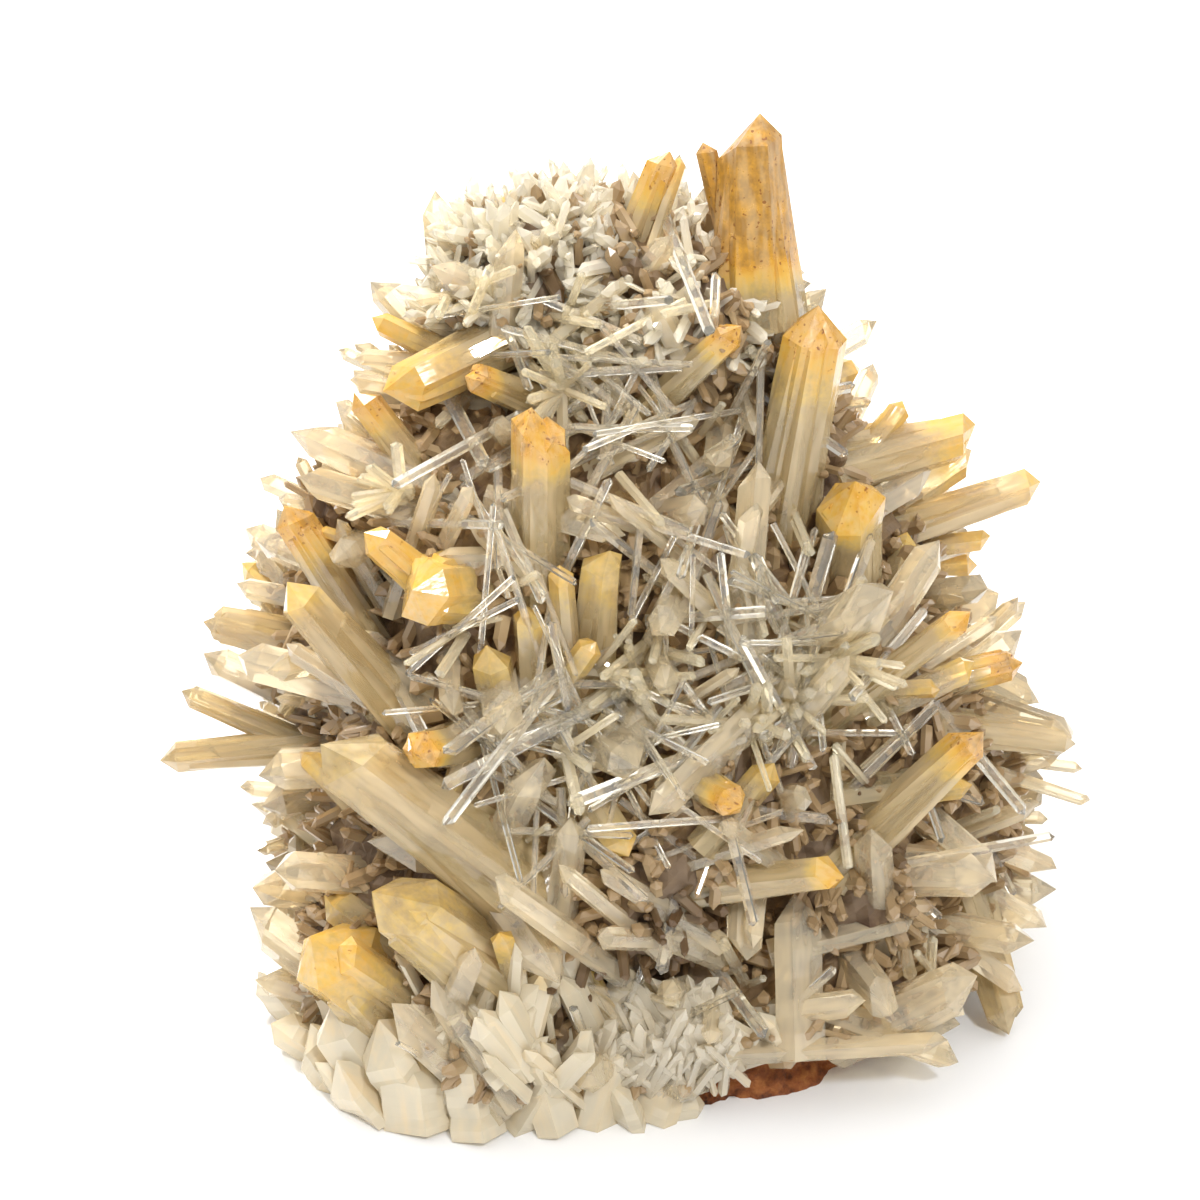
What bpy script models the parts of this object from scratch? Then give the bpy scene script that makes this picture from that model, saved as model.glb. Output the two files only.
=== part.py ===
"""Mango quartz: a hand-sized peak of clear quartz prisms and needles grown on a scrap of rusty
host rock. The larger prisms end in the cloudy mango-yellow tips that give the mineral its name.

Metres, +Z up. The origin is on the surface that the specimen stands on, under the summit, and the
side that the photograph shows faces -Y.
"""

import math
from collections import namedtuple

import bmesh
import bpy
import numpy as np
from mathutils import Matrix, Vector
from mathutils.bvhtree import BVHTree

MM = 0.001

# How the photograph looks at the specimen. It places what the photograph shows.
PICTURE_MIDDLE = 600  # pixels, across and down
PICTURE_FOCAL = 2713  # pixels
VIEW_DISTANCE = 350 * MM
VIEW_ELEVATION = math.radians(30)
VIEW_TARGET = Vector((0, 0, 50 * MM))

# The ground that the crystals stand on, as rounded sections: how high each lies, how far it reaches
# from the upright axis to the left, right, front and back in millimetres, and how square it is,
# where 2 is an oval. The foot flares into a crust, and the crown overhangs a recess at its front.
Section = namedtuple("Section", "height left right front back square")
SECTIONS = (
    Section(0, 37, 46, 42, 36, 2.8),
    Section(7, 40, 51, 43, 38, 2.8),
    Section(14, 39, 53, 37, 38, 2.7),
    Section(24, 35, 53, 37, 37, 2.5),
    Section(37, 36, 50, 35, 37, 2.4),
    Section(50, 39, 44, 30, 35, 2.3),
    Section(61, 36, 38, 25, 32, 2.2),
    Section(70, 31, 33, 20, 27, 2.2),
    Section(78, 24, 28, 14, 22, 2.1),
    Section(85, 19, 25, 10, 19, 2.1),
    Section(92, 20, 24, 13, 16, 2.1),
    Section(98, 17, 19, 10, 14, 2.0),
    Section(102, 8, 9, 4, 7, 2.0),
    Section(103, 0, 0, 0, 0, 2.0),
)
RINGS = 12
SIDES = 24
RIM_LIFT = 7.5  # mm that the quartz stands off the surface at its front right
RIM_LIFT_FADES = 20.0  # mm above the surface
RIM_LIFT_ANGLE = math.radians(-52)  # from +X towards -Y
RIM_LIFT_SHARPNESS = 7  # how fast it fades to the sides

# Swells and hollows of the ground: waves of these lengths, each pushing it in and out by this much.
LUMP_WAVES = 12
LUMP_LENGTHS = (16.0, 34.0)  # mm
LUMP_DEPTH = 0.9  # mm
LUMP_SEED = 5

# The host rock, a flattened lump under the ground, cut off flat where the specimen stands.
ROCK_MIDDLE = Vector((10, -10, 0)) * MM
ROCK_REACH = Vector((32, 31, 15)) * MM
ROCK_ROUGHNESS = 0.1  # of its size
ROCK_SEED = 11

# Quartz: the faces that close a prism slope so that their normals lean this far from its axis.
TIP_LEAN = math.radians(51.8)
TIP_FACES = 6
TIP_UNEVENNESS = 0.25  # of the width, by which those faces start higher or lower than each other
BLANK_EXCESS = 1.3  # how much longer than the crystal its blank is, before the tip is cut
CUT_PRECISION = 0.001 * MM
ROOT_DEPTH = 5.0 * MM  # how far each crystal reaches down into the ground
GAP = 0.35 * MM  # kept between solids that touch
TABLE_SIZE = 300 * MM  # of the block that cuts everything off flat at the surface

# Colours: linear RGB.
CLEAR_QUARTZ = (0.74, 0.70, 0.62, 1)
MANGO_QUARTZ = (0.80, 0.52, 0.16, 1)
RUSTY_ROCK = (0.24, 0.09, 0.03, 1)

# The crystals that stand out in the photograph. Root and tip are pixels of it, lean is how many
# degrees the crystal points out of the picture plane towards the viewer, and width is its real
# width across, in millimetres. Taper is the tip's share of the width at the root. Crystals of one
# name have grown together.
Point = namedtuple("Point", "name root tip lean width taper", defaults=(0.86,))
POINTS = (
    Point("crown_great_point", (756, 286), (752, 113), 14, 9.6, 0.66),
    Point("crown_great_point", (734, 262), (704, 142), 14, 2.6),
    Point("crown_small_point", (640, 222), (668, 150), 18, 4.0),
    Point("right_shoulder_point", (784, 492), (820, 305), 29, 8.0),
    Point("short_orange_point", (662, 396), (742, 324), 32, 3.9),
    Point("left_knob_point", (535, 404), (464, 374), 42, 4.6),
    Point("amber_pair", (488, 350), (386, 398), 18, 6.4),
    Point("amber_pair", (448, 356), (371, 318), -2, 3.4),
    Point("left_shoulder_point", (416, 470), (356, 391), 16, 4.2),
    Point("centre_post", (538, 556), (538, 408), 32, 6.4, 0.96),
    Point("left_long_point", (368, 630), (285, 504), 16, 5.2),
    Point("left_olive_point", (398, 712), (286, 582), 20, 7.0),
    Point("great_bulb", (456, 588), (404, 592), 56, 8.6, 0.94),
    Point("great_bulb", (438, 592), (366, 531), 22, 4.6),
    Point("great_pale_prism", (496, 868), (322, 738), 20, 10.0),
    Point("left_bulb", (462, 744), (411, 753), 64, 5.4),
    Point("left_spears", (312, 744), (160, 759), 2, 4.4),
    Point("left_spears", (316, 748), (181, 692), -4, 3.4),
    Point("left_blunt_point", (300, 642), (203, 620), 4, 5.4),
    Point("ochre_foot_prism", (486, 966), (378, 888), 34, 9.6),
    Point("yellow_foot_crystal", (382, 992), (312, 940), 40, 11.6),
    Point("right_foot_crystal", (972, 912), (1012, 1034), 10, 5.8),
    Point("low_right_point", (712, 886), (844, 873), 24, 4.6),
    Point("middle_right_point", (696, 780), (741, 806), 50, 4.2),
    Point("hexagon_point", (846, 566), (854, 484), 50, 7.6, 0.97),
    Point("back_amber_point", (862, 462), (978, 430), -18, 6.6),
    Point("back_grey_point", (900, 528), (1040, 482), -14, 5.2),
    Point("long_right_point", (838, 712), (970, 612), 20, 3.4, 0.95),
    Point("right_knob_point", (926, 684), (1022, 660), -4, 4.4),
    Point("right_lower_point", (856, 846), (983, 730), 18, 5.8),
    Point("right_spear", (968, 728), (1076, 742), -6, 4.6),
    Point("olive_centre_point", (596, 650), (606, 548), 36, 5.4),
)

# The clear prisms that stand out in the photograph, all of one solid with the ground: where each
# starts and ends there, and how wide it is, in pixels. Each starts a little in front of the ground,
# and leans out of the picture plane just enough to stand off it.
Prism = namedtuple("Prism", "start end width")
PRISMS = (
    Prism((414, 548), (438, 474), 28),
    Prism((567, 520), (626, 536), 25),
    Prism((674, 552), (608, 496), 21),
    Prism((738, 584), (754, 501), 22),
    Prism((748, 571), (757, 460), 32),
    Prism((400, 478), (292, 430), 44),
    Prism((404, 510), (300, 478), 34),
    Prism((430, 392), (350, 378), 20),
    Prism((406, 722), (285, 645), 20),
    Prism((310, 560), (255, 538), 36),
    Prism((304, 600), (236, 586), 24),
    Prism((380, 655), (352, 632), 46),
    Prism((310, 960), (246, 912), 46),
    Prism((304, 1010), (256, 976), 34),
    Prism((440, 850), (366, 846), 56),
    Prism((470, 1042), (430, 978), 44),
    Prism((452, 1056), (390, 1004), 44),
    Prism((450, 1012), (478, 944), 36),
    Prism((508, 920), (556, 985), 46),
    Prism((610, 965), (492, 880), 34),
    Prism((665, 908), (600, 868), 24),
    Prism((612, 912), (558, 867), 22),
    Prism((690, 862), (805, 827), 27),
    Prism((796, 976), (794, 892), 54),
    Prism((848, 934), (913, 918), 28),
    Prism((876, 892), (872, 828), 38),
    Prism((902, 1022), (976, 978), 56),
    Prism((806, 1048), (948, 1040), 34),
    Prism((870, 1034), (958, 1060), 30),
    Prism((520, 800), (540, 756), 50),
    Prism((565, 866), (572, 816), 38),
    Prism((700, 766), (648, 815), 36),
    Prism((930, 548), (874, 570), 28),
    Prism((980, 700), (1070, 735), 34),
    Prism((940, 830), (1000, 880), 30),
    Prism((1000, 640), (1040, 700), 30),
    Prism((880, 500), (930, 470), 30),
    Prism((900, 600), (940, 540), 30),
    Prism((790, 470), (740, 540), 20),
)
PRISM_TAPER = 0.88
PRISM_LIFT = 2.5 * MM  # towards the viewer, from the ground
PRISM_SUNK = 10.0 * MM  # how far it goes back from its start, into the ground
PRISM_STAND = 0.34  # the least sine of the angle between a prism and the ground under it
PRISM_LEANS = range(-10, 50, 3)  # degrees out of the picture plane, tried in turn
PRISM_FRONT = -49.0 * MM  # how far forward a tip may reach
PRISM_INWARD = (640, 700)  # pixel towards which a start that misses the ground is moved
PRISM_STEPS = 41  # steps of that move

# The crystals that fill the ground between those, all of one solid with it. Each belt reaches up
# to a height: how far apart its crystals stand, their lengths and widths, in millimetres, and how
# far they stray from square to the ground.
Belt = namedtuple("Belt", "height spacing lengths widths stray")
BELTS = (
    Belt(14, 11.0, (4, 7), (5.5, 9.0), 0.6),
    Belt(60, 11.0, (8, 15), (3.0, 6.4), 0.9),
    Belt(86, 9.4, (7, 12), (2.6, 5.0), 0.9),
    Belt(200, 7.0, (3, 6), (3.0, 4.8), 0.7),
)
FIELD_TIP_FACES = 3
FIELD_TAPER = 0.9
FIELD_STAND = 0.4  # the least sine of the angle between one and the ground under it
FIELD_LEAST_RISE = 0.05  # none heads further down than this upward share of its heading
FIELD_TOP_SHARE = 0.985  # of the way from rim to summit, where the field ends
FIELD_TRIALS = 4000
FIELD_SEED = 23
FIELD_CLEARANCE = 0.8 * MM  # between a crystal of the field and one that the photograph shows
GAP_SAMPLES = 13  # points along each of two crystals that are compared


def sight_line(pixel):
    """Where the viewer stands, and the direction in which a pixel of the photograph is seen."""
    sine, cosine = math.sin(VIEW_ELEVATION), math.cos(VIEW_ELEVATION)
    forward = Vector((0, cosine, -sine))
    up = Vector((0, sine, cosine))
    across = (pixel[0] - PICTURE_MIDDLE) / PICTURE_FOCAL
    above = (PICTURE_MIDDLE - pixel[1]) / PICTURE_FOCAL
    return VIEW_TARGET - forward * VIEW_DISTANCE, forward + Vector((across, 0, 0)) + up * above


def lumps(points):
    """Sum of plane waves in seeded directions, up to their number either way."""
    rng = np.random.default_rng(LUMP_SEED)
    heading = rng.normal(size=(LUMP_WAVES, 3))
    heading /= np.linalg.norm(heading, axis=1, keepdims=True)
    length = rng.uniform(*LUMP_LENGTHS, LUMP_WAVES) * MM
    phase = rng.uniform(0, 2 * math.pi, LUMP_WAVES)
    return np.sin(points @ (heading / length[:, None]).T * 2 * math.pi + phase).sum(-1)


def ground(share, angle):
    """Points of the ground in metres. Share runs from 0 at the rim to 1 at the summit, and angle
    runs round the upright axis from +X. Each point is on a section, pushed out by the lumps."""
    rows = np.array(SECTIONS, float)
    at = np.asarray(share) * (len(rows) - 1)
    height, left, right, front, back, square = (
        np.interp(at, np.arange(len(rows)), column) for column in rows.T
    )
    cosine, sine = np.cos(angle), np.sin(angle)
    bulge = (np.abs(cosine) ** square + np.abs(sine) ** square) ** (-1 / square)
    x = bulge * cosine * np.where(cosine < 0, left, right)
    y = bulge * sine * np.where(sine < 0, front, back)
    facing = np.clip(np.cos(angle - RIM_LIFT_ANGLE), 0, 1) ** RIM_LIFT_SHARPNESS
    lift = RIM_LIFT * facing * np.clip(1 - height / RIM_LIFT_FADES, 0, 1)
    points = np.stack([x, y, height + lift], -1) * MM
    outward = np.stack([x, y, np.zeros_like(x)], -1)
    reach = np.linalg.norm(outward, axis=-1, keepdims=True)
    outward = np.divide(outward, reach, out=np.zeros_like(outward), where=reach > 1)
    return points + outward * lumps(points)[..., None] * LUMP_DEPTH * MM


def ground_normal(share, angle):
    """Unit normals of the ground, from small steps along share and angle."""
    step = 1e-3
    rise = ground(np.minimum(share + step, 1), angle) - ground(np.maximum(share - step, 0), angle)
    turn = ground(share, angle + step) - ground(share, angle - step)
    normal = np.cross(turn, rise)
    return normal / np.linalg.norm(normal, axis=-1, keepdims=True)


def material(name, colour, roughness):
    made = bpy.data.materials.new(name)
    made.use_nodes = True
    shader = made.node_tree.nodes["Principled BSDF"]
    shader.inputs["Base Color"].default_value = colour
    shader.inputs["Roughness"].default_value = roughness
    made.diffuse_color = colour
    return made


def collection(name):
    made = bpy.data.collections.new(name)
    bpy.context.scene.collection.children.link(made)
    return made


def ground_mesh():
    """The ground as one closed loft: rings of points, a fan to the summit and one underneath."""
    share, angle = np.meshgrid(
        np.linspace(0, 1, RINGS + 1)[:-1], np.linspace(0, 2 * math.pi, SIDES + 1)[:-1], indexing="ij"
    )
    rings = ground(share, angle).reshape(-1, 3)
    summit = ground(np.array([1.0]), np.array([0.0]))
    corners = np.vstack([rings, summit, np.zeros((1, 3))])
    top, bottom = len(rings), len(rings) + 1
    faces = []
    for side in range(SIDES):
        beside = (side + 1) % SIDES
        faces.append((bottom, beside, side))
        for ring in range(RINGS - 1):
            low, high = ring * SIDES, (ring + 1) * SIDES
            faces.append((low + side, low + beside, high + beside, high + side))
        last = (RINGS - 1) * SIDES
        faces.append((last + side, last + beside, top))
    mesh = bpy.data.meshes.new("ground")
    mesh.from_pydata(corners.tolist(), [], faces)
    return mesh


def rock_mesh(margin):
    """A lump with a broken surface, grown by a margin along its normals."""
    rng = np.random.default_rng(ROCK_SEED)
    bm = bmesh.new()
    bmesh.ops.create_icosphere(bm, subdivisions=2, radius=1)
    for vertex in bm.verts:
        rough = 1 + rng.uniform(-ROCK_ROUGHNESS, ROCK_ROUGHNESS)
        vertex.co = Vector(vertex.co[axis] * rough * ROCK_REACH[axis] for axis in range(3))
    bm.normal_update()
    normals = [vertex.normal.copy() for vertex in bm.verts]
    for vertex, normal in zip(bm.verts, normals):
        vertex.co += ROCK_MIDDLE + normal * margin
    mesh = bpy.data.meshes.new("rock")
    bm.to_mesh(mesh)
    bm.free()
    return mesh


def table_mesh():
    """The space under the surface that the specimen stands on."""
    bm = bmesh.new()
    bmesh.ops.create_cube(bm, size=TABLE_SIZE, matrix=Matrix.Translation((0, 0, -TABLE_SIZE / 2)))
    mesh = bpy.data.meshes.new("table")
    bm.to_mesh(mesh)
    bm.free()
    return mesh


def crystal_mesh(name, length, width, taper, faces, seed, margin=0.0):
    """A six-sided prism along +Z from the origin, its end cut by sloping faces that each start a
    little lower than the last, as they grow at unlike speeds. A margin moves every face out."""
    rng = np.random.default_rng(seed)
    drop = rng.uniform(-TIP_UNEVENNESS, TIP_UNEVENNESS, faces) * width
    radius = width / 2 + margin / math.cos(math.pi / 6)
    blank = length * BLANK_EXCESS
    bm = bmesh.new()
    bmesh.ops.create_cone(
        bm,
        cap_ends=True,
        segments=6,
        radius1=radius,
        radius2=radius * (1 + (taper - 1) * BLANK_EXCESS),
        depth=blank,
        matrix=Matrix.Translation((0, 0, blank / 2 - margin)),
    )
    for face in range(faces):
        towards = 2 * math.pi * face / faces + math.pi / 6
        normal = Vector((math.cos(towards), math.sin(towards), 0)) * math.sin(TIP_LEAN)
        normal.z = math.cos(TIP_LEAN)
        cut = bmesh.ops.bisect_plane(
            bm,
            geom=bm.verts[:] + bm.edges[:] + bm.faces[:],
            dist=CUT_PRECISION,
            plane_co=Vector((0, 0, length - drop[face])) + normal * margin,
            plane_no=normal,
            clear_outer=True,
        )
        rim = [part for part in cut["geom_cut"] if isinstance(part, bmesh.types.BMEdge)]
        if len(rim) > 2:
            bmesh.ops.contextual_create(bm, geom=rim)
    bmesh.ops.recalc_face_normals(bm, faces=bm.faces)
    mesh = bpy.data.meshes.new(name)
    bm.to_mesh(mesh)
    bm.free()
    return mesh


def placed(mesh, root, tip, spin, into):
    """An object that stands the mesh at root, pointing at tip and turned about its own axis."""
    obj = bpy.data.objects.new(mesh.name, mesh)
    into.objects.link(obj)
    turn = (tip - root).to_track_quat("Z", "Y").to_matrix().to_4x4()
    obj.matrix_world = Matrix.Translation(root) @ turn @ Matrix.Rotation(spin, 4, "Z")
    return obj


def boolean_mesh(obj, operation, others):
    """The mesh that a Boolean of the object with every object of a collection makes."""
    boolean = obj.modifiers.new(others.name, "BOOLEAN")
    boolean.operation = operation
    boolean.solver = "EXACT"
    boolean.operand_type = "COLLECTION"
    boolean.collection = others
    bpy.context.view_layer.update()
    graph = bpy.context.evaluated_depsgraph_get()
    made = bpy.data.meshes.new_from_object(obj.evaluated_get(graph))
    made.transform(obj.matrix_world)
    obj.modifiers.clear()
    return made


def keep_largest_shell(mesh):
    """Drops pockets sealed between crystals, and splinters that a socket has cut loose."""
    bm = bmesh.new()
    bm.from_mesh(mesh)
    unseen, shells = set(bm.verts), []
    while unseen:
        reached = {unseen.pop()}
        frontier = list(reached)
        while frontier:
            vertex = frontier.pop()
            near = {edge.other_vert(vertex) for edge in vertex.link_edges} - reached
            reached |= near
            frontier += near
        unseen -= reached
        shells.append(reached)
    largest = max(shells, key=len)
    loose = [vertex for vertex in bm.verts if vertex not in largest]
    bmesh.ops.delete(bm, geom=loose, context="VERTS")
    bm.to_mesh(mesh)
    bm.free()


def segment_gap(first, second):
    """The least distance between two segments, sampled along both."""
    steps = np.linspace(0, 1, GAP_SAMPLES)[:, None]
    one = np.array(first[0]) * (1 - steps) + np.array(first[1]) * steps
    other = np.array(second[0]) * (1 - steps) + np.array(second[1]) * steps
    return np.linalg.norm(one[:, None] - other[None], axis=-1).min()


def axis_of(point, tree):
    """Where a crystal of the photograph leaves the ground, and its tip, in space."""
    eye, towards = sight_line(point.root)
    root = tree.ray_cast(eye, towards)[0]
    depth = (root - eye).length / towards.length
    across = math.dist(point.root, point.tip) / PICTURE_FOCAL * depth
    tip_towards = sight_line(point.tip)[1]
    tip = eye + tip_towards * (depth - across * math.tan(math.radians(point.lean)))
    return root, tip


def prism_axis(prism, tree):
    """Root, tip and width in space of a clear prism of the photograph. Its start is where its line
    of sight meets the ground, less the lift, and the root lies further back along the prism."""
    for share in np.linspace(0, 1, PRISM_STEPS):
        start = np.array(prism.start) * (1 - share) + np.array(PRISM_INWARD) * share
        eye, towards = sight_line(start)
        surface, normal = tree.ray_cast(eye, towards)[:2]
        if surface is not None:
            break
    if normal.dot(towards) > 0:
        normal = -normal
    depth = (surface - eye).length / towards.length - PRISM_LIFT
    begin = eye + towards * depth
    across = math.dist(start, prism.end) / PICTURE_FOCAL * depth
    tip_towards = sight_line(prism.end)[1]
    for lean in PRISM_LEANS:
        trial = eye + tip_towards * (depth - across * math.tan(math.radians(lean)))
        if lean > PRISM_LEANS[0] and trial.y < PRISM_FRONT:
            break
        tip, heading = trial, (trial - begin).normalized()
        if heading.dot(normal) > PRISM_STAND:
            break
    return begin - heading * PRISM_SUNK, tip, prism.width / PICTURE_FOCAL * depth


def field_axes(shown):
    """Roots, tips and widths of the crystals between the ones shown in the photograph, spread
    evenly by keeping each trial that is far enough from those before it."""
    rng = np.random.default_rng(FIELD_SEED)
    kept, roots = [], np.empty((0, 3))
    for _ in range(FIELD_TRIALS):
        share, angle = rng.uniform(0, FIELD_TOP_SHARE), rng.uniform(0, 2 * math.pi)
        tilt, along, across = rng.normal(size=3), rng.uniform(), rng.uniform()
        root = ground(np.array([share]), np.array([angle]))[0]
        belt = next(belt for belt in BELTS if root[2] < belt.height * MM)
        if len(roots) and np.linalg.norm(roots - root, axis=1).min() < belt.spacing * MM:
            continue
        normal = ground_normal(np.array([share]), np.array([angle]))[0]
        heading = normal + tilt * belt.stray / 2
        heading[2] = max(heading[2], FIELD_LEAST_RISE)
        heading /= np.linalg.norm(heading)
        if heading @ normal < FIELD_STAND:
            continue
        width = np.interp(across, (0, 1), belt.widths) * MM
        tip = root + heading * np.interp(along, (0, 1), belt.lengths) * MM
        near = [
            segment_gap((root, tip), (start, end)) - (width + wide) / 2 for start, end, wide in shown
        ]
        if min(near) < FIELD_CLEARANCE:
            continue
        roots = np.vstack([roots, root])
        kept.append((Vector(root), Vector(tip), width))
    return kept


def finished(name, mesh, look, into):
    mesh.materials.clear()
    mesh.materials.append(look)
    into.objects.link(bpy.data.objects.new(name, mesh))


def main():
    for obj in list(bpy.data.objects):
        bpy.data.objects.remove(obj)
    specimen = collection("mango_quartz")
    helpers = {name: collection(name) for name in ("blanks", "field", "sockets", "table", "twins")}
    clear = material("clear_quartz", CLEAR_QUARTZ, 0.1)
    mango = material("mango_quartz", MANGO_QUARTZ, 0.2)
    rusty = material("rusty_rock", RUSTY_ROCK, 0.9)

    ground_blank = bpy.data.objects.new("ground", ground_mesh())
    helpers["blanks"].objects.link(ground_blank)
    tree = BVHTree.FromPolygons(
        [vertex.co for vertex in ground_blank.data.vertices],
        [face.vertices for face in ground_blank.data.polygons],
    )
    beside = [point.name for point in POINTS if tree.ray_cast(*sight_line(point.root))[0] is None]
    if beside:
        raise ValueError("These crystals start beside the ground: " + ", ".join(beside))

    named = []
    blanks = {}
    for seed, point in enumerate(POINTS):
        surface, tip = axis_of(point, tree)
        root = surface - (tip - surface).normalized() * ROOT_DEPTH
        length, width = (tip - root).length, point.width * MM
        named.append((root, tip, width))
        shape = (length, width, point.taper, TIP_FACES, seed)
        blank = placed(crystal_mesh("blank", *shape), root, tip, seed, helpers["blanks"])
        blanks.setdefault(point.name, []).append(blank)
        placed(crystal_mesh("socket", *shape, GAP), root, tip, seed, helpers["sockets"])

    for name, (first, *twins) in blanks.items():
        for twin in twins:
            helpers["twins"].objects.link(twin)
        finished(name, boolean_mesh(first, "UNION", helpers["twins"]), mango, specimen)
        for twin in twins:
            helpers["twins"].objects.unlink(twin)

    prisms = [prism_axis(prism, tree) for prism in PRISMS]
    for seed, (root, tip, width) in enumerate(prisms):
        mesh = crystal_mesh("prism", (tip - root).length, width, PRISM_TAPER, FIELD_TIP_FACES, seed)
        placed(mesh, root, tip, seed, helpers["field"])
    for seed, (root, tip, width) in enumerate(field_axes(named + prisms)):
        start = root - (tip - root).normalized() * ROOT_DEPTH
        mesh = crystal_mesh("field", (tip - start).length, width, FIELD_TAPER, FIELD_TIP_FACES, seed)
        placed(mesh, start, tip, seed, helpers["field"])

    table = bpy.data.objects.new("table", table_mesh())
    helpers["table"].objects.link(table)
    helpers["sockets"].objects.link(table)
    pocket = bpy.data.objects.new("rock_pocket", rock_mesh(GAP))
    helpers["sockets"].objects.link(pocket)
    grown = bpy.data.objects.new("grown", boolean_mesh(ground_blank, "UNION", helpers["field"]))
    helpers["blanks"].objects.link(grown)
    quartz = boolean_mesh(grown, "DIFFERENCE", helpers["sockets"])
    keep_largest_shell(quartz)
    finished("quartz_cluster", quartz, clear, specimen)

    rock = bpy.data.objects.new("rock", rock_mesh(0))
    helpers["blanks"].objects.link(rock)
    finished("matrix_rock", boolean_mesh(rock, "DIFFERENCE", helpers["table"]), rusty, specimen)

    for helper in helpers.values():
        for obj in list(helper.objects):
            bpy.data.objects.remove(obj)
        bpy.data.collections.remove(helper)


main()
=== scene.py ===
"""Mango quartz: the finish of a hand-sized cluster of clear quartz prisms and needles, whose larger
points end in a cloudy mango yellow, on a scrap of rusty host rock. Metres, +Z up, front at -Y."""

import math
from collections import namedtuple

import bpy
import numpy as np
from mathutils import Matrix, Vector
from mathutils.bvhtree import BVHTree


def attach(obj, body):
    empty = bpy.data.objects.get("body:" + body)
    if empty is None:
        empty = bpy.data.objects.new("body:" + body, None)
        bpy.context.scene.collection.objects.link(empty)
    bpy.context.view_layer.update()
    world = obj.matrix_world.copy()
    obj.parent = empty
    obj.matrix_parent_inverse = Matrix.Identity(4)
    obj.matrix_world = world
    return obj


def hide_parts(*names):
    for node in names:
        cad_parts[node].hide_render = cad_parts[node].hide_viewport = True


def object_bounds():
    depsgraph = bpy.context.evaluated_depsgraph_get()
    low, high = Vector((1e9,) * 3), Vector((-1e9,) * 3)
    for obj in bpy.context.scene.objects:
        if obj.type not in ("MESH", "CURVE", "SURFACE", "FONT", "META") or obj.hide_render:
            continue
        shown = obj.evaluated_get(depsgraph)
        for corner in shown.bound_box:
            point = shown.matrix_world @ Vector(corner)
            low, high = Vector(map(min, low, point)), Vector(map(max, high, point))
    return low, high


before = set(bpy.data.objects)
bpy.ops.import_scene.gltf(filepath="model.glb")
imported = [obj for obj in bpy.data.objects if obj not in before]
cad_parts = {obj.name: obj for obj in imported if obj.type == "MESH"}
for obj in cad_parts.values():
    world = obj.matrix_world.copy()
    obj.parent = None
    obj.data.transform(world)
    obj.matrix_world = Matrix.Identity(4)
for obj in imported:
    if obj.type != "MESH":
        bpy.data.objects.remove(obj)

cad_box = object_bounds()

# The view: a camera looking 30 degrees down at the specimen from in front, as far off as a
# telephone is held for a close picture. It also says where a pixel of the picture lies in space.
MM = 0.001
PICTURE_MIDDLE = 600  # pixels, across and down
PICTURE_FOCAL = 2713  # pixels
VIEW_DISTANCE = 350 * MM
VIEW_ELEVATION = math.radians(30)
VIEW_TARGET = Vector((0, 0, 50 * MM))
SENSOR = 36.0  # mm
NEAREST = 10 * MM  # that the camera sees
FORWARD = Vector((0, math.cos(VIEW_ELEVATION), -math.sin(VIEW_ELEVATION)))
UPWARD = Vector((0, math.sin(VIEW_ELEVATION), math.cos(VIEW_ELEVATION)))
EYE = VIEW_TARGET - FORWARD * VIEW_DISTANCE


def sight(pixel):
    """The direction in which a pixel is seen, one metre long along the camera's own axis."""
    across = (pixel[0] - PICTURE_MIDDLE) / PICTURE_FOCAL
    above = (PICTURE_MIDDLE - pixel[1]) / PICTURE_FOCAL
    return FORWARD + Vector((across, 0, 0)) + UPWARD * above


camera = bpy.data.objects.new("camera", bpy.data.cameras.new("camera"))
camera.data.sensor_width = SENSOR
camera.data.lens = PICTURE_FOCAL / (2 * PICTURE_MIDDLE) * SENSOR
camera.data.clip_start = NEAREST
camera.location = EYE
camera.rotation_euler = (math.pi / 2 - VIEW_ELEVATION, 0, 0)
bpy.context.scene.collection.objects.link(camera)
bpy.context.scene.camera = camera
bpy.context.scene.view_settings.view_transform = "Standard"

# The studio: a white table in a white room. The room is brightest overhead and dimmer on the
# camera's side. A soft lamp stands high on the left behind the specimen, and a small one in front
# gives the crystals their glints.
FLOOR_SIZE = 6.0
FLOOR_WHITE = (0.88, 0.88, 0.88, 1)
ROOM_OVERHEAD = 1.42
ROOM_LEVEL = 0.40
ROOM_BEHIND_CAMERA = 0.75  # share of the light that comes from the camera's side
ROOM_RISE = (0.0, 0.9)  # upward share of a direction, from the dim level to the overhead one
ROOM_DEPTH = (-1.0, 0.2)  # share of a direction away from the camera, from its side to the rest
TABLE_ROUGHNESS = 0.9
Lamp = namedtuple("Lamp", "name place size watts")
LAMPS = (
    Lamp("high_left_lamp", (-0.32, 0.42, 0.82), 0.22, 10.0),
    Lamp("front_lamp", (0.30, -0.70, 0.90), 0.09, 6.0),
)


def shader_tree(owner):
    """The node tree of a material or a world, emptied."""
    owner.use_nodes = True
    owner.node_tree.nodes.clear()
    return owner.node_tree


def fill(tree, socket, value):
    """Gives an input a value, or links another socket into it."""
    if isinstance(value, bpy.types.NodeSocket):
        tree.links.new(value, socket)
    else:
        socket.default_value = value


def node(tree, kind, **settings):
    """A node of a tree. A setting named like an input, or in0, in1 and so on by its number, fills
    that input or links into it, and any other sets a property."""
    made = tree.nodes.new(kind)
    for name, value in settings.items():
        if name[:2] == "in" and name[2:].isdigit():
            socket = made.inputs[int(name[2:])]
        else:
            socket = made.inputs.get(name.replace("_", " "))
        if socket is None:
            setattr(made, name, value)
        else:
            fill(tree, socket, value)
    return made


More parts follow.
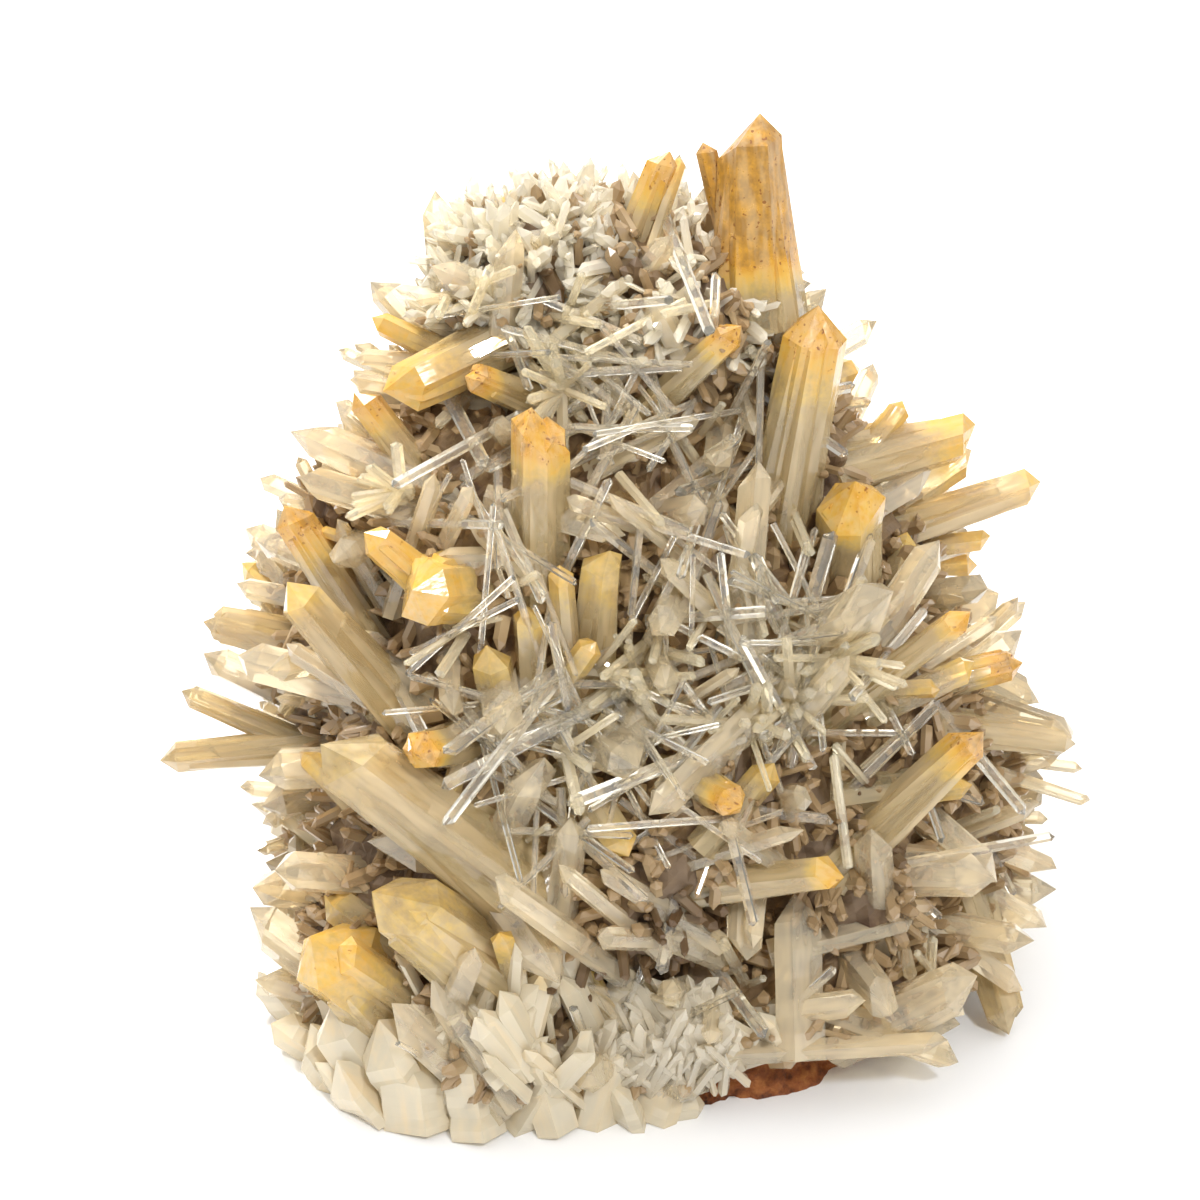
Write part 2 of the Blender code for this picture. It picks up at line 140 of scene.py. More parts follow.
def between(tree, value, low, high, first=0.0, last=1.0):
    """The value carried over from the stretch low to high to the stretch first to last, smoothly,
    and held at its ends."""
    made = node(tree, "ShaderNodeMapRange", interpolation_type="SMOOTHSTEP", in0=value)
    for number, limit in enumerate((low, high, first, last), 1):
        made.inputs[number].default_value = limit
    return made.outputs["Result"]


def calculate(tree, operation, *values):
    """One step of arithmetic on numbers and sockets."""
    made = node(tree, "ShaderNodeMath", operation=operation)
    for socket, value in zip(made.inputs, values):
        fill(tree, socket, value)
    return made.outputs["Value"]


room = bpy.data.worlds.new("room")
bpy.context.scene.world = room
tree = shader_tree(room)
way = node(tree, "ShaderNodeSeparateXYZ", in0=node(tree, "ShaderNodeTexCoord").outputs["Generated"])
overhead = between(tree, way.outputs["Z"], *ROOM_RISE, ROOM_LEVEL, ROOM_OVERHEAD)
facing = between(tree, way.outputs["Y"], *ROOM_DEPTH, ROOM_BEHIND_CAMERA, 1.0)
strength = calculate(tree, "MULTIPLY", overhead, facing)
light = node(tree, "ShaderNodeBackground", Color=(1, 1, 1, 1), Strength=strength)
node(tree, "ShaderNodeOutputWorld", Surface=light.outputs["Background"])

half = FLOOR_SIZE / 2
floor_mesh = bpy.data.meshes.new("table_top")
edge = [(-half, -half, 0), (half, -half, 0), (half, half, 0), (-half, half, 0)]
floor_mesh.from_pydata(edge, [], [(0, 1, 2, 3)])
floor = bpy.data.objects.new("table_top", floor_mesh)
bpy.context.scene.collection.objects.link(floor)
white = bpy.data.materials.new("white_table")
tree = shader_tree(white)
paint = node(tree, "ShaderNodeBsdfPrincipled", Base_Color=FLOOR_WHITE, Roughness=TABLE_ROUGHNESS)
node(tree, "ShaderNodeOutputMaterial", Surface=paint.outputs["BSDF"])
floor_mesh.materials.append(white)

for lamp in LAMPS:
    made = bpy.data.objects.new(lamp.name, bpy.data.lights.new(lamp.name, "AREA"))
    made.data.size = lamp.size
    made.data.energy = lamp.watts
    made.location = lamp.place
    made.rotation_euler = (VIEW_TARGET - made.location).to_track_quat("-Z", "Y").to_euler()
    bpy.context.scene.collection.objects.link(made)

# The host rock: a broken lump of iron-stained stone under the quartz, cut off flat by the table.
# It shows as a rusty, crumbly face under the lifted front right edge.
ROCK_MIDDLE = np.array((10, -10, 0)) * MM
ROCK_REACH = np.array((32, 31, 15)) * MM
ROCK_RINGS = 90
ROCK_SIDES = 300
ROCK_SIZE = 0.95  # share of its reach that the smooth lump has, under the breaks
ROCK_BREAKS = (36, (3.0, 14.0), 7)  # waves, their lengths in millimetres, seed
ROCK_BREAK_DEPTH = 0.16  # mm
ROCK_CRUMBS = (60, (0.9, 2.6), 8)
ROCK_CRUMB_DEPTH = 0.035  # mm
ROCK_DARK = (0.045, 0.014, 0.006, 1)
ROCK_RUST = (0.27, 0.080, 0.020, 1)
ROCK_ORANGE = (0.46, 0.17, 0.045, 1)
ROCK_ROUGHNESS = 0.88
ROCK_PATCHES = (420, 9.0, 0.68)  # patches a metre, detail and roughness of the pattern
ROCK_GRAINS = (2200, 7.0, 0.7)
ROCK_GRAIN_DEPTH = 0.5 * MM


def waves(points, count, lengths, seed):
    """Sum of plane waves in seeded directions: the sine of each point's distance along a random
    heading over a random length, plus a random phase."""
    rng = np.random.default_rng(seed)
    heading = rng.normal(size=(count, 3))
    heading /= np.linalg.norm(heading, axis=1, keepdims=True)
    length = rng.uniform(*lengths, count) * MM
    phase = rng.uniform(0, 2 * math.pi, count)
    return np.sin(points @ (heading / length[:, None]).T * 2 * math.pi + phase).sum(-1)


def grid_faces(rows, columns):
    """Triangles of a grid that is closed round its columns, two for each cell, facing out where
    rows rise and columns turn anticlockwise."""
    row, column = np.meshgrid(np.arange(rows - 1), np.arange(columns), indexing="ij")
    beside = (column + 1) % columns
    low, low_beside = row * columns + column, row * columns + beside
    high, high_beside = low + columns, low_beside + columns
    first = np.stack([low, low_beside, high_beside], -1).reshape(-1, 3)
    second = np.stack([low, high_beside, high], -1).reshape(-1, 3)
    return np.vstack([first, second])


def dome(surface, top, middle):
    """Corners and faces of a closed dome: rings of points that rise to a top point, and a flat
    underside drawn to a middle point."""
    rows, columns = surface.shape[:2]
    corners = np.vstack([surface.reshape(-1, 3), top, middle])
    around = np.arange(columns)
    last = (rows - 1) * columns
    cap = np.stack([last + around, last + (around + 1) % columns, np.full(columns, rows * columns)], -1)
    foot = np.stack([(around + 1) % columns, around, np.full(columns, rows * columns + 1)], -1)
    return corners, np.vstack([grid_faces(rows, columns), cap, foot])


def mesh_object(name, corners, faces, look, **attributes):
    """A flat-shaded mesh from arrays of corners and three-cornered faces. Each attribute has a
    number or a place for every corner."""
    mesh = bpy.data.meshes.new(name)
    mesh.vertices.add(len(corners))
    mesh.vertices.foreach_set("co", np.ascontiguousarray(corners, np.float32).ravel())
    mesh.loops.add(faces.size)
    mesh.loops.foreach_set("vertex_index", np.ascontiguousarray(faces, np.int32).ravel())
    mesh.polygons.add(len(faces))
    mesh.polygons.foreach_set("loop_start", np.arange(0, faces.size, 3, dtype=np.int32))
    mesh.update(calc_edges=True)
    mesh.shade_flat()
    for key, values in attributes.items():
        kind, field = ("FLOAT", "value") if values.ndim == 1 else ("FLOAT_VECTOR", "vector")
        layer = mesh.attributes.new(key, kind, "POINT")
        layer.data.foreach_set(field, np.ascontiguousarray(values, np.float32).ravel())
    mesh.materials.append(look)
    made = bpy.data.objects.new(name, mesh)
    bpy.context.scene.collection.objects.link(made)
    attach(made, "root")
    return made


def noise(tree, where, scale, detail=4.0, roughness=0.55):
    """A cloudy pattern from 0 to 1. The scale is in bumps a metre."""
    made = node(tree, "ShaderNodeTexNoise", Vector=where, Scale=scale, Detail=detail, Roughness=roughness)
    return made.outputs["Fac"]


def ramp(tree, factor, *stops):
    """A colour ramp of the factor. Each stop is a place from 0 to 1 and a colour."""
    made = node(tree, "ShaderNodeValToRGB", Fac=factor)
    elements = made.color_ramp.elements
    for number, (place, colour) in enumerate(stops):
        element = elements[number] if number < 2 else elements.new(place)
        element.position = place
        element.color = colour
    return made.outputs["Color"]


def blend(tree, factor, first, second):
    """A mix of two colours."""
    made = node(tree, "ShaderNodeMix", data_type="RGBA")
    for name, value in (("Factor", factor), ("A", first), ("B", second)):
        fill(tree, next(entry for entry in made.inputs if entry.name == name and entry.enabled), value)
    return next(entry for entry in made.outputs if entry.enabled)


def even_grid(top, rings, sides):
    """Even steps from 0 to the top, which is left out, and of angle round a full turn."""
    steps = np.linspace(0, top, rings + 1)[:-1]
    return np.meshgrid(steps, np.linspace(0, 2 * math.pi, sides + 1)[:-1], indexing="ij")


def rough_look(tree, colour, roughness, grains, strength, depth):
    """An opaque surface of a colour, with grains that stand out by a depth."""
    bump = node(tree, "ShaderNodeBump", Height=grains, Strength=strength, Distance=depth)
    stone = node(tree, "ShaderNodeBsdfPrincipled", Base_Color=colour, Roughness=roughness)
    tree.links.new(bump.outputs["Normal"], stone.inputs["Normal"])
    node(tree, "ShaderNodeOutputMaterial", Surface=stone.outputs["BSDF"])


rise, turn = even_grid(math.pi / 2, ROCK_RINGS, ROCK_SIDES)
heading = np.stack([np.cos(rise) * np.cos(turn), np.cos(rise) * np.sin(turn), np.sin(rise)], -1)
surface = ROCK_MIDDLE + heading * ROCK_REACH * ROCK_SIZE
breaks = np.abs(waves(surface, *ROCK_BREAKS)) * ROCK_BREAK_DEPTH
crumbs = waves(surface, *ROCK_CRUMBS) * ROCK_CRUMB_DEPTH
surface = surface + heading * (breaks + crumbs)[..., None] * MM
surface[..., 2] = np.maximum(surface[..., 2], 0) * (rise > 0)
corners, faces = dome(surface, ROCK_MIDDLE + [0, 0, ROCK_REACH[2] * ROCK_SIZE], ROCK_MIDDLE)

rust = bpy.data.materials.new("iron_stained_rock")
tree = shader_tree(rust)
place = node(tree, "ShaderNodeTexCoord").outputs["Object"]
patches = noise(tree, place, *ROCK_PATCHES)
colour = ramp(tree, patches, (0.33, ROCK_DARK), (0.5, ROCK_RUST), (0.66, ROCK_ORANGE))
rough_look(tree, colour, ROCK_ROUGHNESS, noise(tree, place, *ROCK_GRAINS), 0.9, ROCK_GRAIN_DEPTH)
rock = mesh_object("host_rock", corners, faces, rust)
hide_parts("matrix_rock")

# The ground of the quartz: the solid mass of grown-together roots that every crystal stands on.
# It is a stack of rounded sections, each with how high it lies, how far it reaches to the left,
# right, front and back in millimetres, and how square it is.
SECTIONS = (
    (0, 37, 46, 42, 36, 2.8), (7, 40, 51, 43, 38, 2.8), (14, 39, 53, 37, 38, 2.7),
    (24, 35, 53, 37, 37, 2.5), (37, 36, 50, 35, 37, 2.4), (50, 39, 44, 30, 35, 2.3),
    (61, 36, 38, 25, 32, 2.2), (70, 31, 33, 20, 27, 2.2), (78, 24, 28, 14, 22, 2.1),
    (85, 19, 25, 10, 19, 2.1), (92, 20, 24, 13, 16, 2.1), (98, 17, 19, 10, 14, 2.0),
    (102, 8, 9, 4, 7, 2.0), (103, 0, 0, 0, 0, 2.0),
)
RIM_LIFT = 7.5  # mm that the quartz stands off the surface at its front right
RIM_LIFT_FADES = 20.0  # mm above the surface
RIM_LIFT_ANGLE = math.radians(-52)  # from +X towards -Y
RIM_LIFT_SHARPNESS = 7
LUMPS = (12, (16.0, 34.0), 5)  # waves, their lengths in millimetres, seed
LUMP_DEPTH = 0.9  # mm
GROUND_RINGS = 130
GROUND_SIDES = 300
GROUND_SINK = 0.6  # mm that the finished ground lies inside the solid, under its crystals
GRIT = (60, (2.0, 9.0), 1)
GRIT_DEPTH = 0.11  # mm
GRIT_STARTS = 12  # one over the share of the way up at which it is full
SMALL_STEP = 1e-3  # of share and angle, for slopes


def ground(share, angle):
    """Points of the ground. Share runs from 0 at the rim to 1 at the summit and picks the section
    by linear interpolation. Angle runs round the upright axis from +X. A point lies at (cos, sin)
    of the angle, divided by the section's superellipse norm, times the reach on that side, and is
    pushed out by the lumps."""
    rows = np.array(SECTIONS, float)
    at = np.asarray(share) * (len(rows) - 1)
    height, left, right, front, back, square = (
        np.interp(at, np.arange(len(rows)), column) for column in rows.T
    )
    cosine, sine = np.cos(angle), np.sin(angle)
    bulge = (np.abs(cosine) ** square + np.abs(sine) ** square) ** (-1 / square)
    x = bulge * cosine * np.where(cosine < 0, left, right)
    y = bulge * sine * np.where(sine < 0, front, back)
    facing = np.clip(np.cos(angle - RIM_LIFT_ANGLE), 0, 1) ** RIM_LIFT_SHARPNESS
    lift = RIM_LIFT * facing * np.clip(1 - height / RIM_LIFT_FADES, 0, 1)
    points = np.stack([x, y, height + lift], -1) * MM
    outward = np.stack([x, y, np.zeros_like(x)], -1)
    reach = np.linalg.norm(outward, axis=-1, keepdims=True)
    outward = np.divide(outward, reach, out=np.zeros_like(outward), where=reach > 1)
    return points + outward * waves(points, *LUMPS)[..., None] * LUMP_DEPTH * MM


def ground_normal(share, angle):
    """Unit normals of the ground: the cross product of small steps along angle and share."""
    above, below = np.minimum(share + SMALL_STEP, 1), np.maximum(share - SMALL_STEP, 0)
    rise = ground(above, angle) - ground(below, angle)
    turn = ground(share, angle + SMALL_STEP) - ground(share, angle - SMALL_STEP)
    normal = np.cross(turn, rise)
    return normal / np.linalg.norm(normal, axis=-1, keepdims=True)


share, angle = even_grid(1, GROUND_RINGS, GROUND_SIDES)
relief = waves(ground(share, angle), *GRIT) * GRIT_DEPTH * np.clip(share * GRIT_STARTS, 0, 1)
shell = ground(share, angle) + ground_normal(share, angle) * (relief - GROUND_SINK)[..., None] * MM
shell[..., 2] = np.maximum(shell[..., 2], 0)
summit = ground(np.array([1.0]), np.array([0.0])) - [[0, 0, GROUND_SINK * MM]]
corners, faces = dome(shell, summit, np.zeros((1, 3)))

# Deep between the crystals the quartz is stained: brown and beige in random patches, with a
# lilac-grey tint here and there, and milky at the foot.
DEEP_BROWN = (0.070, 0.034, 0.013, 1)
STAINED_BEIGE = (0.24, 0.155, 0.075, 1)
LILAC_GREY = (0.17, 0.115, 0.070, 1)
MILKY_WHITE = (0.72, 0.65, 0.52, 1)
MILKY_HEIGHT = (4 * MM, 12 * MM)  # up to which it is milky, and above which it isn't
GROUND_ROUGHNESS = 0.65
GROUND_GRAIN_DEPTH = 0.4 * MM

soiled = bpy.data.materials.new("stained_ground")
tree = shader_tree(soiled)
place = node(tree, "ShaderNodeTexCoord").outputs["Object"]
height = node(tree, "ShaderNodeSeparateXYZ", in0=place).outputs["Z"]
stain = ramp(tree, noise(tree, place, 160), (0.36, DEEP_BROWN), (0.58, STAINED_BEIGE))
stain = blend(tree, between(tree, noise(tree, place, 60), 0.5, 0.62), stain, LILAC_GREY)
colour = blend(tree, between(tree, height, *MILKY_HEIGHT, 1.0, 0.0), stain, MILKY_WHITE)
rough_look(tree, colour, GROUND_ROUGHNESS, noise(tree, place, 900), 0.5, GROUND_GRAIN_DEPTH)
ground_piece = mesh_object("quartz_ground", corners, faces, soiled)
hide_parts("quartz_cluster")

# Every crystal is a six-sided prism of quartz closed by six sloping faces. Quartz is clear or
# clouded, and the large points are stained yellow towards the tip, with rusty specks in the stain.
TIP_SLOPE = math.tan(math.radians(51.8))
TIP_SLOPE_SPREAD = (0.6, 1.4)  # shares of that slope
LONGEST_TIP = 0.7  # share of the length that the sloping faces may take
APEX_OFFSET = 0.3  # of the half width, the most that the apex lies off the axis
CORNER_SINE = 0.75  # square of the sine of the 60 degrees between neighbouring faces
TABLE_GAP = 0.02 * MM
QUARTZ_IOR = 1.544
CLOUDED_BODY = (0.78, 0.62, 0.38, 1)
CLOUDED_LOSS = 0.5  # share of its clearness that a fully cloudy part loses
WISPS = (420, 2.0)  # wisps a metre, and the detail of the pattern
STREAKS = (900, 2.0)
BLOTCHES = (480, 3.0, 0.7)
SPECKS = (1500, 1.0)
STRETCH = (1, 1, 0.2)  # along a crystal, wisps and streaks are five times as long
RIDGE_DEPTH = 0.2 * MM
STAIN_WOBBLE = 0.7  # how far blotches carry the stain up and down
STAIN_STOPS = (
    (0.12, (0.84, 0.68, 0.36, 1)),
    (0.36, (0.82, 0.60, 0.20, 1)),
    (0.60, (0.76, 0.46, 0.085, 1)),
    (0.82, (0.64, 0.32, 0.034, 1)),
    (1.0, (0.36, 0.18, 0.030, 1)),
)
STAINED_CLEAR = 0.22  # share of its clearness that full stain leaves
STAINED_ROUGHNESS = 0.28
RUSTY_SPECK = (0.22, 0.065, 0.010, 1)
SHADOW_SHARE = 0.72  # of the lamp light that a clear crystal would let through
Grown = namedtuple("Grown", "corners faces rise own tone")


def unit(vectors):
    """The vectors divided by their lengths."""
    return vectors / np.linalg.norm(vectors, axis=-1, keepdims=True)


def crystals(root, tip, width, seed, taper=0.88, rings=2, irregular=0.16, steps=0.0, blunt=1.0, flat=0):
    """Many six-sided crystals as arrays: corners, faces, and for each corner its share of the way
    from root to tip, its place in the crystal's own axes and the crystal's own random tone. A
    cross-section is six lines round the axis at unlike distances, and neighbouring lines meet in a
    corner. It is squashed along one axis by up to the flat share, carried along the crystal, and
    narrows towards the taper, by uneven steps from ring to ring. All six tip faces go through one
    apex beside the axis and drop by the slope of quartz, less if blunt is under one, times the way
    out. A corner ends at the lower of its two faces. What would lie under the table is pressed up
    to it."""
    rng = np.random.default_rng(seed)
    count = len(root)
    taper = np.broadcast_to(taper, count)[:, None]
    axis = tip - root
    length = np.linalg.norm(axis, axis=1)
    axis = axis / length[:, None]
    side = unit(np.cross(axis, rng.normal(size=(count, 3))))
    other = np.cross(axis, side)
    half = (width / 2)[:, None]

    turn = np.arange(6) * math.pi / 3
    facing = np.stack([np.cos(turn), np.sin(turn)], -1)
    beside = np.roll(facing, -1, axis=0)
    reach = 1 + irregular * rng.uniform(-1, 1, (count, 6))
    reach_beside = np.roll(reach, -1, axis=1)
    outline = reach[..., None] * (facing - beside / 2) + reach_beside[..., None] * (beside - facing / 2)
    outline = outline / CORNER_SINE * half[..., None]
    outline[..., 0] *= 1 - flat * rng.uniform(0, 1, (count, 1))

    apex = rng.uniform(-APEX_OFFSET, APEX_OFFSET, (count, 2))
    slope = TIP_SLOPE * blunt * rng.uniform(*TIP_SLOPE_SPREAD, (count, 6))
    drop = (reach - apex @ facing.T) * slope * taper * half
    drop = np.maximum(drop, np.roll(drop, -1, axis=1))
    drop = np.minimum(drop, LONGEST_TIP * length[:, None])
    along = np.linspace(0, 1, rings)[None, :, None] * (length[:, None] - drop)[:, None, :]
    share = along / length[:, None, None]
    narrow = 1 + (taper[..., None] - 1) * share
    narrow = narrow * (1 + steps * rng.uniform(-1, 1, (count, rings, 1)))
    across = outline[:, None] * narrow[..., None]
    own = np.concatenate([across, along[..., None]], axis=-1).reshape(count, -1, 3)
    peak = np.concatenate([apex * taper * half, length[:, None]], axis=1)
    own = np.concatenate([own, peak[:, None]], axis=1)

    corners = root[:, None] + own[..., :1] * side[:, None]
    corners = corners + own[..., 1:2] * other[:, None] + own[..., 2:] * axis[:, None]
    corners[..., 2] = np.maximum(corners[..., 2], TABLE_GAP)
    rise = np.concatenate([share.reshape(count, -1), np.ones((count, 1))], axis=1)
    own = own + rng.uniform(0, 1, (count, 1, 3))
    tone = np.repeat(rng.uniform(0, 1, count), corners.shape[1])

    around = np.arange(6)
    last = 6 * (rings - 1)
    cap = np.stack([last + around, last + (around + 1) % 6, np.full(6, 6 * rings)], -1)
    base = np.array([(0, 2, 1), (0, 3, 2), (0, 4, 3), (0, 5, 4)])
    one = np.vstack([grid_faces(rings, 6), cap, base])
    faces = (one[None] + np.arange(count)[:, None, None] * corners.shape[1]).reshape(-1, 3)
    return Grown(corners.reshape(-1, 3), faces, rise.ravel(), own.reshape(-1, 3), tone)


def attribute(tree, key, output="Fac"):
    """What a piece says at each corner under a key."""
    return node(tree, "ShaderNodeAttribute", attribute_name=key).outputs[output]


def quartz_look(name, body, clearness, clouding, roughness=0.05, fine=False, large=False):
    """Quartz of a body colour, with cloudy parts that take clearness away: wisps along the crystal,
    or in fine ones a cloudier, browner root that is stronger in some than in others, partly cloudy
    quartz and partly painted shade near the ground. A large crystal also has streaks and fine ridges
    along it, and is stained as its stain attribute says. Lamp light goes through by the clear share,
    so that a crowd of crystals isn't dark inside."""
    look = bpy.data.materials.new(name)
    tree = shader_tree(look)
    if fine:
        # Fine crystals: cloudier and browner towards the root, partly real clouding, partly painted shade
        # near the ground.
        root_cloud_and_shade = between(tree, attribute(tree, "rise"), 0.2, 0.9, clouding, 0.25 * clouding)
        veil = calculate(tree, "MULTIPLY", attribute(tree, "tone"), root_cloud_and_shade)
    else:
        own = attribute(tree, "own", "Vector")
        drawn = node(tree, "ShaderNodeVectorMath", operation="MULTIPLY", in0=own, in1=STRETCH)
        drawn = drawn.outputs["Vector"]
        veil = between(tree, noise(tree, drawn, *WISPS), 0.4, 0.72, 0.0, clouding)
    colour = blend(tree, veil, body, CLOUDED_BODY)
    clear = calculate(tree, "MULTIPLY_ADD", veil, -CLOUDED_LOSS * clearness, clearness)
    quartz = node(tree, "ShaderNodeBsdfPrincipled", IOR=QUARTZ_IOR, Roughness=roughness)
    passing = tuple(channel * clearness * SHADOW_SHARE for channel in body[:3]) + (1,)
    if large:
        streaks = noise(tree, drawn, *STREAKS)
        bump = node(tree, "ShaderNodeBump", Height=streaks, Strength=0.3, Distance=RIDGE_DEPTH)
        tree.links.new(bump.outputs["Normal"], quartz.inputs["Normal"])
        stain = attribute(tree, "stain")
        blotches = noise(tree, own, *BLOTCHES)
        wobble = calculate(tree, "MULTIPLY_ADD", blotches, STAIN_WOBBLE, -STAIN_WOBBLE / 2)
        stain = calculate(tree, "MULTIPLY_ADD", wobble, between(tree, stain, 0.0, 0.3), stain)
        tint = ramp(tree, stain, *STAIN_STOPS)
        tint = blend(tree, between(tree, streaks, 0.35, 0.65, 0.0, 0.25), tint, CLOUDED_BODY)
        colour = blend(tree, between(tree, stain, 0.02, 0.3), colour, tint)
        speck = between(tree, noise(tree, own, *SPECKS), 0.66, 0.70)
        speck = calculate(tree, "MULTIPLY", speck, between(tree, stain, 0.55, 0.8, 0.0, 0.8))
        colour = blend(tree, speck, colour, RUSTY_SPECK)
        clear = calculate(tree, "MULTIPLY", clear, between(tree, stain, 0.05, 0.8, 1.0, STAINED_CLEAR))
        rough = between(tree, stain, 0.2, 0.9, roughness, STAINED_ROUGHNESS)
        tree.links.new(rough, quartz.inputs["Roughness"])
        passing = blend(tree, stain, passing, RUSTY_SPECK)
    tree.links.new(colour, quartz.inputs["Base Color"])
    tree.links.new(clear, quartz.inputs["Transmission Weight"])
    let_through = node(
        tree,
        "ShaderNodeMixShader",
        in0=node(tree, "ShaderNodeLightPath").outputs["Is Shadow Ray"],
        in1=quartz.outputs["BSDF"],
        in2=node(tree, "ShaderNodeBsdfTransparent", Color=passing).outputs["BSDF"],
    )
    node(tree, "ShaderNodeOutputMaterial", Surface=let_through.outputs["Shader"])
    return look


def crystal_piece(name, look, *groups, slot="clear_quartz", stains=()):
    """One piece of several groups of crystals. A stained piece has a stain for every corner."""
    shift = np.cumsum([0] + [len(group.corners) for group in groups[:-1]])
    extra = {"stain": np.concatenate(stains)} if stains else {}
    piece = mesh_object(
        name,
        np.vstack([group.corners for group in groups]),
        np.vstack([group.faces + more for group, more in zip(groups, shift)]),
        look,
        own=np.vstack([group.own for group in groups]),
        rise=np.concatenate([group.rise for group in groups]),
        tone=np.concatenate([group.tone for group in groups]),
        **extra,
    )
    return piece


# The large mango-tipped crystals that stand clear of the rest. Each is quartz that iron has stained
# towards its tip. It has grown out of the ground, with thinner crystals along it.
POINT_LOOK = ((0.82, 0.68, 0.40, 1), 0.74, 0.6, 0.08)  # clearness, clouding, roughness
UNSTAINED = (0.0, 1.0, 0.0)
# Each has its stain: the share of its length where that starts, where it is full, and how strong it
# is. Then, for each of its crystals, the pixels of root and tip, the lean out of the picture in
# degrees, the width in millimetres, and the tip's share of the width at the root.
POINTS = {
    "crown_great_point": (
        (0.10, 0.36, 0.93), (756, 286, 752, 113, 14, 9.6, 0.66), (734, 262, 704, 142, 14, 2.6, 0.86),
    ),
    "crown_small_point": ((0.30, 0.75, 0.75), (640, 222, 668, 150, 18, 4.0, 0.86)),
    "right_shoulder_point": ((0.42, 1.0, 0.85), (784, 492, 820, 305, 29, 8.0, 0.86)),
    "short_orange_point": ((0.62, 0.88, 0.85), (662, 396, 742, 324, 32, 3.9, 0.86)),
    "left_knob_point": ((0.60, 0.92, 0.9), (535, 404, 464, 374, 42, 4.6, 0.86)),
    "amber_pair": (
        (0.2, 1.0, 0.62), (488, 350, 386, 398, 18, 6.4, 0.86), (448, 356, 371, 318, -2, 3.4, 0.86),
    ),
    "left_shoulder_point": ((0.45, 0.95, 0.9), (416, 470, 356, 391, 16, 4.2, 0.86)),
    "centre_post": ((0.55, 0.86, 0.85), (538, 556, 538, 408, 32, 6.4, 0.96)),
    "left_long_point": ((0.55, 0.86, 0.85), (368, 630, 285, 504, 16, 5.2, 0.86)),
    "left_olive_point": ((0.72, 1.0, 0.5), (398, 712, 286, 582, 20, 7.0, 0.86)),
    "great_bulb": (
        (0.10, 0.80, 0.62), (456, 588, 404, 592, 56, 8.6, 0.94), (438, 592, 366, 531, 22, 4.6, 0.86),
    ),
    "great_pale_prism": ((0.5, 1.0, 0.20), (496, 868, 322, 738, 20, 10.0, 0.86)),
    "left_bulb": ((0.55, 0.92, 0.85), (462, 744, 411, 753, 64, 5.4, 0.86)),
    "left_spears": (
        UNSTAINED, (312, 744, 160, 759, 2, 4.4, 0.86), (316, 748, 181, 692, -4, 3.4, 0.86),
    ),
    "left_blunt_point": ((0.85, 1.0, 0.12), (300, 642, 203, 620, 4, 5.4, 0.86)),
    "ochre_foot_prism": ((0.1, 0.8, 0.30), (486, 966, 378, 888, 34, 9.6, 0.86)),
    "yellow_foot_crystal": ((0.1, 0.95, 0.6), (382, 992, 312, 940, 40, 11.6, 0.86)),
    "right_foot_crystal": (UNSTAINED, (972, 912, 1012, 1034, 10, 5.8, 0.86)),
    "low_right_point": ((0.78, 0.92, 0.72), (712, 886, 844, 873, 24, 4.6, 0.86)),
    "middle_right_point": ((0.45, 0.88, 0.85), (696, 780, 741, 806, 50, 4.2, 0.86)),
    "hexagon_point": ((0.5, 0.9, 0.78), (846, 566, 854, 484, 50, 7.6, 0.97)),
    "back_amber_point": ((0.4, 0.9, 0.6), (862, 462, 978, 430, -18, 6.6, 0.86)),
    "back_grey_point": ((0.82, 1.0, 0.6), (900, 528, 1040, 482, -14, 5.2, 0.86)),
    "long_right_point": ((0.82, 0.93, 0.85), (838, 712, 970, 612, 20, 3.4, 0.95)),
    "right_knob_point": ((0.5, 0.85, 0.9), (926, 684, 1022, 660, -4, 4.4, 0.86)),
    "right_lower_point": ((0.66, 0.92, 0.9), (856, 846, 983, 730, 18, 5.8, 0.86)),
    "right_spear": (UNSTAINED, (968, 728, 1076, 742, -6, 4.6, 0.86)),
    "olive_centre_point": ((0.35, 1.0, 0.42), (596, 650, 606, 548, 36, 5.4, 0.86)),
}
POINT_FORM = dict(rings=9, steps=0.02, blunt=0.8)
MAIN_SHARE = 0.94  # of the width, for the crystal that the thinner ones have grown on
ROOT_DEPTH = 5.0 * MM
BUNDLE = 4  # thinner crystals along each large one
BUNDLE_FORM = dict(rings=7, steps=0.03, blunt=0.7)
BUNDLE_WIDTHS = (0.34, 0.58)  # shares of the large one's width
BUNDLE_ENDS = (0.70, 0.95)  # shares of its length
BUNDLE_TURN = 0.4  # radians, the most that each strays from its even place round the large one
BUNDLE_OFF = (1.5, 0.85)  # at the root and the tip, shares of where their sides would be flush
CAD_RINGS = 12
CAD_SIDES = 24


def coarse_ground():
    """The ground with as few sides as the solid has, for finding where a line of sight meets it."""
    rings = ground(*even_grid(1, CAD_RINGS, CAD_SIDES)).reshape(-1, 3)
    summit = ground(np.array([1.0]), np.array([0.0]))
    walls = grid_faces(CAD_RINGS, CAD_SIDES)[: (CAD_RINGS - 1) * CAD_SIDES]
    low, low_beside, high_beside = walls.T
    walls = np.stack([low, low_beside, high_beside, low + CAD_SIDES], -1)
    last = (CAD_RINGS - 1) * CAD_SIDES + np.arange(CAD_SIDES)
    cap = np.stack([last, np.roll(last, -1), np.full(CAD_SIDES, len(rings))], -1)
    return BVHTree.FromPolygons(np.vstack([rings, summit]).tolist(), walls.tolist() + cap.tolist())


def leaning_tip(first, last, depth, lean):
    """The tip of a crystal that starts at a depth: nearer than that by its length across the
    picture times the tangent of its lean."""
    across = math.dist(first, last) / PICTURE_FOCAL * depth
    return EYE + sight(last) * (depth - across * math.tan(math.radians(lean)))


